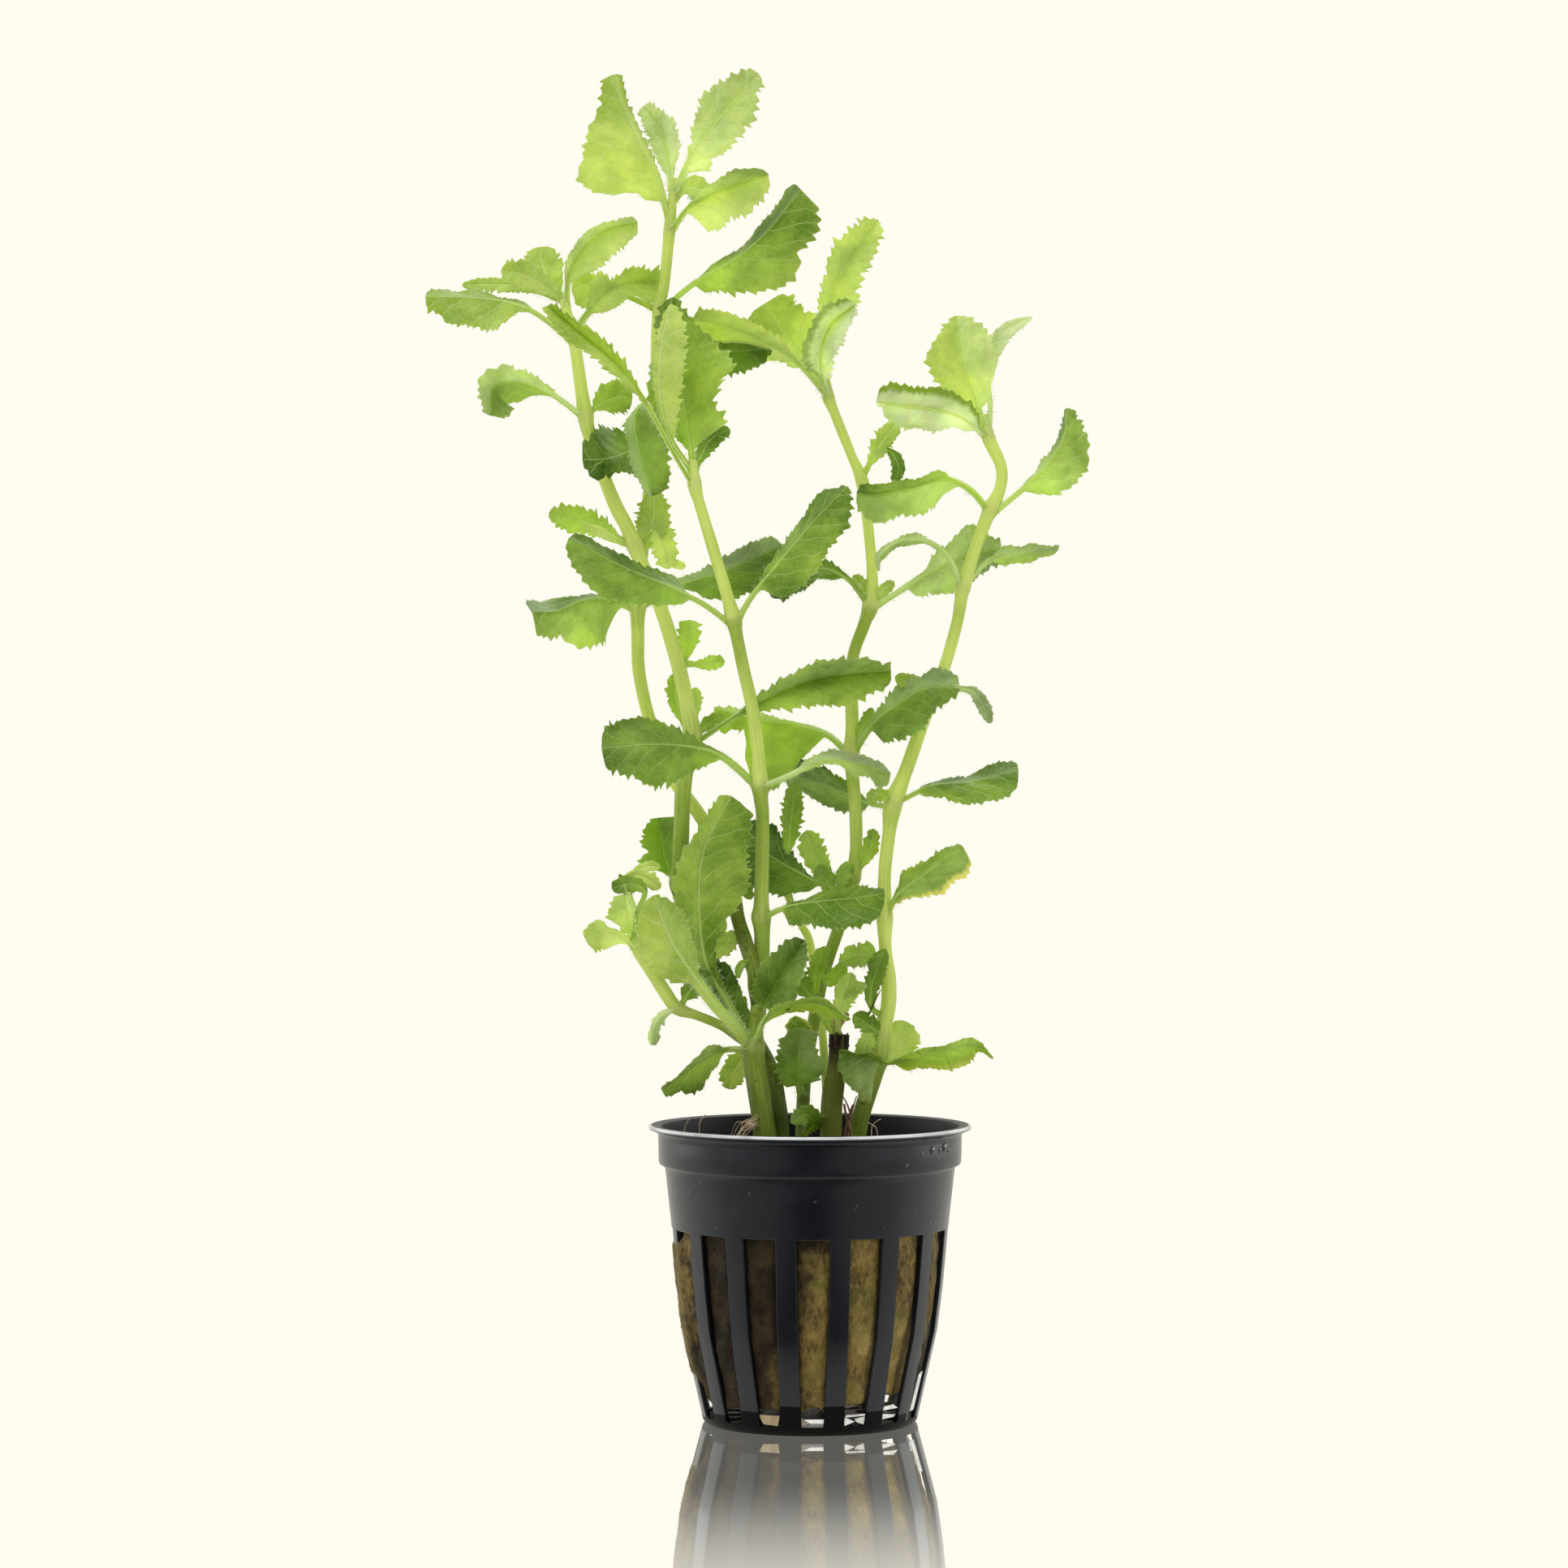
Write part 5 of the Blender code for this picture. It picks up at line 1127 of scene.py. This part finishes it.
small("b_153_left", "mid", [(-30.9, 153.8, 0), (-33.5, 154.8, 0), (-38, 157.2, 2), (-46, 159.3, 4)], 2.6, 0.15)
small("b_153_strip", "young", [(-31, 153.4, 0), (-34, 154.4, -1), (-37, 156, -1.5), (-40, 157, -2)], 1)
small("b_153_up", "young", [(-30.6, 153.4, 0), (-28.8, 154.4, 3), (-27.4, 158.4, 2), (-27.4, 163.4, 0)], 3.2, 0.1,
      tone=0.5)
small("b_153_right", "young", [(-30.4, 154.2, 1), (-28.2, 157.6, 3), (-26.2, 156, 2.5), (-25.4, 152.4, 1.5),
      (-24.8, 149.2, 1)], 2.5, tone=0.1)
small("b_150_lobe", "young", [(-25.6, 151.8, 1.8), (-23.8, 150.4, 1.5), (-21.7, 149.8, 1)], 0.9, tone=0.1)
small("b_140_right", "mid", [(-22.8, 131.4, 0), (-21.8, 134, 1), (-21.3, 137.2, 1.5), (-21, 140.6, 2)], 2.3, 0.1,
      tone=0.1, wide=0.75)
small("b_132_right", "mid", [(-22, 132.8, 0.5), (-19, 132.7, 1.5), (-17, 133, 2), (-14.8, 133.2, 2)], 1.4, tone=0.1)
small("b_120_left", "mid", [(-21, 120.6, 0), (-22.6, 123.2, 1), (-23.7, 127, 1), (-24, 131.2, 1)], 1.5, tone=0.1)
small("b_120_up", "young", [(-20.8, 121.2, 0), (-20.3, 125, 1.5), (-20, 128.8, 1.5)], 1.4)
small("b_120_side", "mid", [(-20.6, 119.8, 0), (-18.4, 121.8, 2), (-16.4, 123.2, 2), (-15, 123.8, 2)], 1.4)
small("c_crown_front", "young", [(-20.6, 166.4, -9), (-24.3, 172, -10.5), (-25.8, 177, -11), (-26.4, 183, -11.5),
      (-25.8, 190, -11), (-24.2, 196.3, -10)], (1.5, 4.8), tone=0.4, turns=(-30, 20))
small("c_164_right", "dark", [(-20.3, 165.2, -9), (-19.4, 168.6, -8), (-17, 172.4, -8), (-13.8, 173.9, -8)], 1.8)
small("d_165_right", "young", [(9.1, 165.3, 4), (11.2, 169.2, 3), (13.2, 172.5, 2), (15.8, 175.3, 1)], 1.9)
small("d_165_curl", "dark", [(11.4, 169.6, 3), (13.7, 170.2, 3), (15.5, 167.6, 2), (14.7, 164.3, 2)], 1.3)
small("d_143_up", "young", [(10.7, 143, 4), (9.2, 146.2, 4), (7.6, 148.4, 3)], 1.4)
small("d_143_side", "young", [(10.9, 142.8, 4), (12.6, 145.3, 3), (14.8, 147.3, 2)], 1.2)
small("e_132_left", "mid", [(22.6, 129.8, 0.2), (20.5, 129.2, -1), (17.8, 129.4, -2), (14.8, 130.6, -2)], 1.5)
small("d_117_tip", "dark", [(25.4, 128.5, -4.9), (28.4, 128, -4.8), (30.2, 125.8, -4.5), (31.8, 122.2, -4.5)], 1.3,
      0.1, frost=0.5)
small("d_117_up", "mid", [(7.4, 117.5, 4), (8.8, 120.8, 3), (10, 123, 2.5), (11, 125.2, 2)], 1.2)
small("e_108_curl", "mid", [(14.4, 108, 0.5), (12.6, 109.8, -1.5), (11.2, 109.4, -2.5), (10.2, 108.3, -3)], 1.4)
small("f_up", "mid", [(-3.4, 90.6, 10), (-4.1, 97, 10), (-3.5, 103, 9.5), (-2.6, 112.2, 9)], 2.1, 0.4)
small("d_95_up", "mid", [(7.5, 95.4, 4.5), (4.5, 95.4, 3), (2.1, 97.2, 2), (0.4, 100.2, 1.5), (-0.6, 103.8, 1)], 2.5,
      0.3)
small("d_95_dark", "dark", [(7.4, 95, 4.6), (4.4, 94.2, 1.5), (2.6, 95.2, 0), (1.4, 97.8, -1)], 1.9)
small("d_95_front", "dark", [(7.6, 95.8, 4.4), (6.6, 96.6, 1.8), (5.8, 95.2, 0.8), (6.2, 93.6, 0.4)], 1.6, 0.1)
small("d_96_right", "mid", [(7.9, 96, 4.4), (9.4, 98, 3), (10.6, 100.8, 2), (11.2, 104, 1.5)], 1.6)
small("e_crown_narrow", "young", [(31.3, 172.4, 0), (31.6, 178, -0.6), (31.2, 183, -1), (32, 188, -1),
      (34.5, 191.5, -1), (39.4, 193.8, -2)], (1.3, 2), 0.25, tone=0.45, blunt=0.8, teeth=0.3, frost=0.7)
small("e_62_up", "young", [(12, 61.4, -0.3), (13.8, 64.5, -0.6), (15.4, 67.3, 1), (16.9, 70.2, 2)], (2.6, 4.2), 0.15,
      tone=0.3)
small("c_65_pale", "young", [(-10, 65.6, -4.6), (-10.8, 65, -1), (-13.5, 61, 1), (-14.2, 58, 2)], 2.5, 0.15)
small("c_sheath", "dark", [(-10.2, 66, -3.4), (-12.6, 70.4, -3.2), (-15, 75.2, -3.2), (-17, 80.4, -3.4)], (2.6, 3),
      0.02, tone=0.65, wide=0.7, blunt=0.16, teeth=0.2)
small("pot_leaf", "dark", [(-1.3, 49.5, 2.9), (0.6, 52.4, -2), (-0.8, 53.8, -6), (-3.6, 52.2, -9)], 1.9, 0.15)
small("e_80_left", "mid", [(13.6, 79, 0), (10.8, 81.4, -2), (8, 81.6, -3.5), (5, 80.2, -4.5)], 2.2, 0.15)
small("e_74_narrow", "dark", [(13, 71, 0), (10.8, 72.6, -2), (11.1, 77, -2.5), (13.3, 83, -2.5)], 1.7)
small("e_73_lobe", "young", [(5, 66.8, -1.7), (5, 71, -4), (6, 75, -5), (7.4, 78.8, -5.5)], (1.9, 2.4), 0.35, tone=0.3)
small("e_75_lobe", "young", [(6, 74.4, -4.9), (8, 75.6, -5.2), (9.8, 76.7, -5.4)], 1.1, 0.1, tone=0.3)
small("d_77_right", "mid", [(2, 77, 5), (3.4, 77.2, 2), (4.8, 78.3, 0.5), (6.2, 80.4, 0)], 1.6)
small("d_74_up", "mid", [(1.4, 74.2, 4.9), (0.9, 76.4, 2.5), (1.3, 79.6, 1), (2.9, 83.4, 0)], 1.8)
small("d_73_left", "dark", [(1.2, 73.4, 4.8), (-0.6, 75.4, 2.5), (-1.9, 77.6, 1.5), (-2.8, 80, 1)], 1.9)
small("e_68_dark", "dark", [(12.6, 68, 0), (11, 69, -3), (9.2, 70.3, -4), (7.4, 71.2, -4.5)], 2, 0.15)
small("e_67_oval", "mid", [(12.4, 66.6, 0), (10.8, 67.8, -3), (9.6, 65.6, -4.5), (9.2, 62.6, -5)], 1.7)
small("cut_tip", "dry", [(5.1, 67, -1.6), (4.6, 69.2, -2.5), (5.4, 70.8, -3), (7, 71.3, -3.2)], 1.2, 0.1, tone=0.1)
small("cut_side", "mid", [(4.4, 66.6, -1.6), (3.6, 69, -2.6), (3, 70.3, -3), (2.4, 71.6, -3.2)], 1)
small("d_65_dry", "mid", [(-0.2, 64.6, 4.5), (-1.4, 67, 0), (-2.2, 69, -2.5), (-2.6, 71.2, -3.5)], 2.6, 0.1, tone=0.5,
      wear=0.5)
small("b_79_right", "young", [(-16.8, 79.2, 3.2), (-16.6, 81.6, 2), (-14.8, 83.8, 0), (-12.3, 85.2, -1)], 2.1)
small("b_83_curl", "young", [(-18.4, 83, 3.1), (-16.4, 85.2, 0), (-15.4, 86.6, -1), (-15.2, 88.6, -1.5)], 0.9)
small("c_79_hook", "mid", [(-8.7, 78.4, -1.6), (-11.2, 80.2, -5), (-12.4, 79.4, -5.4), (-12.6, 77.4, -5.6)], 0.8)
small("a_92_bump", "dark", [(-13.5, 92, 1.5), (-12.2, 93.4, -0.5), (-11.2, 93.2, -1.5), (-10.2, 91.4, -2)], 1.3)
small("b_73_dark", "dark", [(-13.8, 72.8, 3.1), (-12.4, 72.5, 0), (-11.8, 73.4, -1), (-11.4, 74.6, -1.5)], 0.9)
small("shoot_top", "dark", [(-31, 83.6, -8), (-30.2, 89, -7.6), (-29, 92.8, -7), (-31.6, 94.2, -6.5),
      (-35, 93.3, -6)], 1.8, 0.55)
small("shoot_light", "young", [(-30.4, 88.6, -7.6), (-32.3, 95, -6.2), (-29.4, 95.5, -6), (-26, 93.3, -6)], 1.5, 0.5)
small("shoot_tip", "young", [(-31.9, 94.2, -6.2), (-30.6, 96.4, -6), (-28, 97.3, -5.8), (-26, 97, -5.6)], 1)
small("shoot_blue", "dark", [(-25.8, 75.4, -7.3), (-26.8, 78.6, -6), (-26, 81.4, -5), (-24.4, 83.2, -4.6)], 1.9)
small("shoot_dark", "dark", [(-22.9, 72.1, -7.1), (-21.4, 75, -6.5), (-19.4, 77, -6), (-17, 78.2, -5.6)], 2.6)

# The pot's second finish is a painted shadow at its foot, and its third a painted shade inside its top.
pot(pot_material(), plain_material("plastic_painted_foot_shadow", (0.0022, 0.0022, 0.003), (0.0008, 0.0008, 0.001), 0.45, 0.08),
    plain_material("plastic_shaded", (0.011, 0.011, 0.012), (0.006, 0.006, 0.007), 0.5, 0.12))
rockwool(fibre_material("rockwool_stained", (0.22, 0.155, 0.042), (0.050, 0.030, 0.011), (0.13, 0.13, 0.022), 0.55))
wool_fibres(fibre_material("rockwool_fibre", (0.42, 0.31, 0.095), (0.075, 0.045, 0.016), (0.22, 0.22, 0.045), 0.5))

LEAF_FINISH = {
    "young": leaf_material("leaf_young_tissue", (0.73, 0.82, 0.27), (0.29, 0.42, 0.04), (0.82, 0.90, 0.50), 0.5),
    "mid": leaf_material("leaf_mid_tissue", (0.56, 0.72, 0.13), (0.13, 0.25, 0.012), (0.66, 0.80, 0.31), 0.5),
    "dry": leaf_material("leaf_dry_tissue", (0.50, 0.38, 0.09), (0.20, 0.14, 0.03), (0.60, 0.50, 0.22), 0.4),
    "dark": leaf_material("leaf_dark_tissue", (0.38, 0.56, 0.08), (0.055, 0.13, 0.006), (0.50, 0.68, 0.22), 0.56),
}
for (bearer, age), group in sorted(groups.items()):
    group.build(f"leaves_{bearer}_{age}", LEAF_FINISH[age], "leaf_" + age.replace("dry", "mid"))


# Roots, dried stalks and drops

STRAND_STEP = 0.6
DROP_RINGS = 5
DROP_SIDES = 12


def loose(name, finish, slot, lines):
    """Thin strands, each from its radius, its tip's share of it and its points."""
    made = Piece()
    for radius, tip, path in lines:
        route = Route([seen(*p) for p in path])
        count = max(4, round(route.length / STRAND_STEP))
        strand(made, [route.point(k / count) for k in range(count + 1)], radius, sides=7, tip=tip)
    made.build(name, finish, slot, smooth_angle=70)


ROOTS = [
    (0.15, 0.4, [(-19.6, 43.5, -3), (-19.4, 50.5, -4), (-19.3, 52.4, -4.5), (-18.3, 53.8, -5)]),
    (0.12, 0.4, [(-22.2, 43.5, -2), (-22.0, 50.8, -3), (-21.6, 52.2, -3.2), (-21.1, 53.0, -3.4)]),
    (0.14, 0.4, [(12.4, 43.5, -8), (11.8, 50.6, -9), (11.0, 51.9, -9.4), (10.1, 52.3, -9.8)]),
    (0.12, 0.5, [(11.2, 44.0, -9), (10.8, 50.9, -10), (11.5, 52.4, -10.2), (12.4, 52.9, -10.4)]),
]
dice = random.Random(SEED)
for k in range(13):
    reach, rise = dice.uniform(0.3, 1.0), dice.uniform(-1.2, 1.2)
    ROOTS.append((dice.uniform(0.05, 0.11), 0.5, [
        (-9.4 + dice.uniform(-0.6, 0.6), 52.6 + rise, -7.0),
        (-10.4 - reach, 52.0 + rise + dice.uniform(-0.5, 0.7), -8.2 + dice.uniform(-1, 1)),
        (-11.2 - 1.8 * reach, 51.2 + rise + dice.uniform(-0.7, 0.5), -8.6 + dice.uniform(-1, 1)),
        (-11.8 - 2.4 * reach, 49.4 + rise + dice.uniform(-1.2, 0.6), -8.8 + dice.uniform(-1, 1))]))
loose("roots", plain_material("root_pale", (0.72, 0.62, 0.44), (0.46, 0.30, 0.17), 0.55), "rockwool", ROOTS)
loose("dried_stalks", plain_material("stalk_dried", (0.20, 0.105, 0.045), (0.075, 0.03, 0.015), 0.6), "stem_old", [
    (0.55, 0.5, [(6.4, 44.0, -6), (6.3, 50.0, -6.4), (6.9, 53.0, -6.6), (7.6, 55.4, -6.8)]),
    (0.42, 0.5, [(7.4, 44.0, -6.5), (7.2, 50.0, -6.8), (6.4, 53.2, -7.0), (6.0, 55.6, -7.2)]),
    (0.2, 0.5, [(7.2, 53.6, -6.8), (6.5, 55.6, -7), (5.7, 57.0, -7.2)]),
    (0.2, 0.5, [(7.0, 53.0, -6.8), (7.7, 55.4, -7), (8.2, 57.0, -7.1)]),
    (0.16, 0.5, [(10.4, 71.2, -2.2), (11.2, 73.2, -2.6), (12.4, 75.6, -3.0)]),
])

SPLINTERS = []
CUT_ACROSS, CUT_DEPTH, CUT_RADIUS = 5.1, -1.6, 1.35
dice = random.Random(SEED + 2)
for k in range(10):
    turn = TURN * k / 10 + dice.uniform(-0.15, 0.15)
    u, depth = CUT_ACROSS + CUT_RADIUS * math.cos(turn), CUT_DEPTH + CUT_RADIUS * math.sin(turn)
    top = 67.4 + dice.uniform(-0.3, 1.1)
    SPLINTERS.append((dice.uniform(0.4, 0.62), 0.2, [
        (u, 65.6, depth), (u, 67.2, depth), (u + dice.uniform(-0.5, 0.3), top, depth + dice.uniform(-0.3, 0.3))]))
loose("cut_splinters", plain_material("stalk_rotten", (0.055, 0.020, 0.012), (0.014, 0.006, 0.004), 0.5), "stem_old",
      SPLINTERS)


def drops(finish):
    """Water drops that cling to the collar's right side, and a few on the wall above the slots."""
    made = Piece()
    dice = random.Random(SEED + 1)
    spots = [(-38, 48.9, 0.75), (-33, 48.7, 0.55), (-29.5, 49.1, 0.85), (-26, 48.5, 0.5), (-44, 48.3, 0.4),
             (-52, 46.6, 0.35)]
    spots += [(dice.uniform(-150, -20), dice.uniform(35.5, 43.5), dice.uniform(0.12, 0.28)) for _ in range(16)]
    for turn, height, size in spots:
        radius = COLLAR_RADIUS if height > COLLAR_LOW else body_radius(height)
        out = ring_point(1, math.radians(turn), 0)
        side = Vector((-out.y, out.x, 0))
        start = len(made.points)
        for ring in range(DROP_RINGS):
            slant = math.radians(90 * ring / (DROP_RINGS - 1))
            lift = math.sin(slant) * size * 0.45 - 0.03
            wide = math.cos(slant) * size
            for c in range(DROP_SIDES):
                around = TURN * c / DROP_SIDES
                p = out * (radius + lift) + side * wide * math.cos(around)
                made.add(p + UP * (height + wide * math.sin(around) * (1.25 if math.sin(around) < 0 else 1)))
        made.tube(start, DROP_RINGS, DROP_SIDES)
        made.faces.append(tuple(start + c for c in reversed(range(DROP_SIDES))))
    made.build("water_drops", finish, "pot_plastic", smooth_angle=80)


# Slot, brightness, brown share and corners (share of the slot's width, height) of each glint
GLINTS = [
    (-1, 0.5, 1.0, ((-0.46, 3.5), (-0.3, 1.9), (0.3, 1.7), (0.4, 3.5))),
    (0, 1.0, 0.0, ((-0.34, 2.95), (-0.1, 2.25), (0.45, 2.2), (0.45, 2.95))),
    (0, 0.38, 0.6, ((-0.46, 3.4), (-0.46, 1.5), (-0.12, 2.25), (-0.36, 2.95))),
    (0, 0.3, 0.1, ((-0.44, 1.5), (0.46, 1.4), (0.46, 2.15), (-0.08, 2.2))),
    (1, 0.9, 0.0, ((-0.4, 3.2), (0.45, 3.3), (0.45, 3.65), (-0.36, 3.6))),
    (1, 1.0, 0.0, ((-0.44, 3.1), (-0.4, 1.7), (0.02, 2.4), (-0.36, 3.1))),
    (1, 0.8, 0.0, ((0.0, 2.9), (0.08, 2.3), (0.45, 1.7), (0.45, 3.15))),
    (2, 1.0, 0.0, ((-0.42, 3.9), (0.42, 4.0), (0.1, 4.8), (-0.42, 4.5))),
    (2, 0.9, 0.0, ((-0.45, 2.3), (0.25, 2.5), (0.35, 2.9), (-0.45, 3.3))),
    (3, 0.85, 0.0, ((-0.2, 2.8), (0.2, 2.9), (0.3, 9.6), (-0.05, 9.2))),
]
GLINT_SKINS = (0.35, 0.5)
# A slot's width as a share of the pitch
SLOT_SPAN = 0.6


def glints(finish):
    """Painted light: bright, clear or brown patches in the lowest part of the slots at the front of the foot."""
    made = Piece()
    for slot, light, brown, corners in GLINTS:
        start = len(made.points)
        for skin in GLINT_SKINS:
            for share, height in corners:
                turn = FIRST_SLOT + (slot + share * SLOT_SPAN) * PITCH
                made.add(ring_point(body_radius(height) - skin, turn, height), tone=(light, brown))
        made.faces += [tuple(start + k for k in range(4)), tuple(start + k for k in (7, 6, 5, 4))]
        made.faces += [(start + k, start + 4 + k, start + 4 + (k + 1) % 4, start + (k + 1) % 4) for k in range(4)]
    made.build("painted_light_glints", finish, "pot_plastic", smooth_angle=20)


def painted_light_finish():
    """Painted light, clear or brown, by each glint's brightness and brown share."""
    n = Nodes("painted_light_bright")
    light, brown = n.place("tone")
    light = light * n.range(n.noise(500, 2), 0.3, 0.6, 0.7, 1.0)
    shine = n.mix(brown, n.mix(light, (0.02, 0.02, 0.025), (0.95, 0.95, 0.93)),
                  n.mix(light, (0.02, 0.01, 0.006), (0.80, 0.62, 0.38)))
    return n.finish(shine, 0.25, None, 0.3)


def dark_water():
    """Clear water, as dark as the plastic behind it."""
    n = Nodes("water_on_plastic")
    return n.finish(n.mix(n.noise(800, 2), (0.012, 0.014, 0.018), (0.03, 0.033, 0.04)), 0.06, None, 0.6)


glints(painted_light_finish())
drops(dark_water())
hairs.build("leaf_hairs", plain_material("hair_white", (0.75, 0.78, 0.6), (0.62, 0.66, 0.45), 0.5), "leaf_young")


# Floor, light and camera

AIM = (0.0, 0.0, 0.12)
SHEET_HALF = 2.2
SHEET_FRONT, SHEET_BEND, SHEET_TOP = -1.6, 0.75, 2.6
BEND_RADIUS = 0.5
BEND_STEPS = 16


def floor_material():
    """A lit ivory sheet, glossy under the pot and duller towards its front edge."""
    n = Nodes("studio_ivory")
    across, depth, _ = n.split(n.where())
    shade = n.add("LightPath", out="Is Glossy Ray") * n.range(depth, -0.05, -0.035, 0.9, 0.0)
    shade = shade * n.range(abs(across), 0.025, 0.065, 1.0, 0.45)
    lit = n.add("Emission", (IVORY, n.math("SUBTRACT", 1.0, shade)))
    gloss = n.add("BsdfGlossy", {"Color": (1.0, 1.0, 1.0), "Roughness": 0.02})
    near = n.range(depth, -0.175, -0.06, 0.38, 0.9) * n.range(depth, -0.19, -0.148)
    near = near * n.range(depth, 0.016, 0.022, 1.0, 0.0) * n.range(abs(across), 0.0215, 0.04, 1.0, 0.0)
    near = near * n.range(n.add("LayerWeight", out="Facing"), 0.7, 0.79)
    from_axis = n.add("VectorMath", (n.where(),), out="Value", operation="LENGTH")
    n.add("OutputMaterial", (n.add("MixShader", (near * n.range(from_axis, 0.0165, 0.0178), lit, gloss)),))
    return n.made


def sheet(name, points, faces, finish):
    """A flat or bent sheet, which the part doesn't include."""
    mesh = bpy.data.meshes.new(name)
    mesh.from_pydata(points, [], faces)
    mesh.materials.append(finish)
    return shown(name, mesh)


def stage():
    """A pale floor that turns up into a backdrop."""
    profile = [(SHEET_FRONT, 0.0), (SHEET_BEND, 0.0)]
    for k in range(1, BEND_STEPS + 1):
        t = math.radians(90 * k / BEND_STEPS)
        profile.append((SHEET_BEND + BEND_RADIUS * math.sin(t), BEND_RADIUS - BEND_RADIUS * math.cos(t)))
    profile.append((SHEET_BEND + BEND_RADIUS, SHEET_TOP))
    made = sheet("backdrop", [(x, y, z) for y, z in profile for x in (-SHEET_HALF, SHEET_HALF)],
                 [(2 * k, 2 * k + 1, 2 * k + 3, 2 * k + 2) for k in range(len(profile) - 1)], floor_material())
    made.data.shade_smooth()


def flag():
    """A dark card in front of the pot, which only glossy surfaces see."""
    corners = [(-0.16, -0.55, -0.05), (0.16, -0.55, -0.05), (0.16, -0.55, 0.14), (-0.16, -0.55, 0.14)]
    made = sheet("dark_flag", corners, [(0, 1, 2, 3)],
                 plain_material("flag_black", (0.004, 0.004, 0.005), (0.003, 0.003, 0.004), 0.9, 0.05))
    for ray in ("camera", "diffuse", "transmission", "shadow"):
        setattr(made, "visible_" + ray, False)


def lamp(name, size, power, place, shine_only=False):
    """A soft square lamp. One that is for shine only shows in glossy surfaces and lights nothing else."""
    data = bpy.data.lights.new(name, "AREA")
    data.shape = "SQUARE"
    data.size = size
    data.energy = power
    made = shown(name, data)
    made.location = place
    made.rotation_euler = (Vector(AIM) - Vector(place)).to_track_quat("-Z", "Y").to_euler()
    made.visible_camera = False
    made.light_linking.receiver_collection = UNLIT
    if shine_only:
        made.visible_diffuse = False
        made.visible_transmission = False


stage()
flag()
# The lamps neither light the floor nor shine in it
UNLIT = bpy.data.collections.new("floor_without_lamps")
UNLIT.objects.link(bpy.data.objects["backdrop"])
UNLIT.collection_objects[0].light_linking.link_state = "EXCLUDE"
lamp("key_above", 0.7, 6.0, (-0.25, -0.35, 0.95))
lamp("fill_right", 0.7, 2.3, (0.9, -0.45, 0.35))
lamp("fill_left", 0.7, 1.6, (-0.9, -0.4, 0.3))
lamp("back_light", 0.8, 3.5, (0.2, 0.65, 0.75))
lamp("shine_left", 0.6, 3.6, (-0.95, 0.3, 0.2), shine_only=True)
lamp("shine_right", 0.6, 4.2, (0.95, 0.25, 0.2), shine_only=True)

# The camera sees an even ivory where the world shows, and all other rays find a dim pale sky
n = Nodes("studio", bpy.data.worlds)
sky = n.add("Background", ((1.0, 1.0, 0.95), 0.42))
ivory = n.add("Background", (IVORY, 1.0))
n.add("OutputWorld", (n.add("MixShader", (n.add("LightPath", out="Is Camera Ray"), sky, ivory)),))
bpy.context.scene.world = n.made
bpy.context.scene.view_settings.view_transform = "Standard"
bpy.context.scene.view_settings.look = "None"

camera = bpy.data.cameras.new("photo_camera")
camera.lens = LENS
camera.sensor_width = SENSOR
camera.clip_start = 0.01
viewer = shown("photo_camera", camera)
viewer.location = (EYE_ACROSS * MM, -EYE_DISTANCE * MM, EYE_HEIGHT * MM)
viewer.rotation_euler = (math.radians(90), 0, 0)
bpy.context.scene.camera = viewer
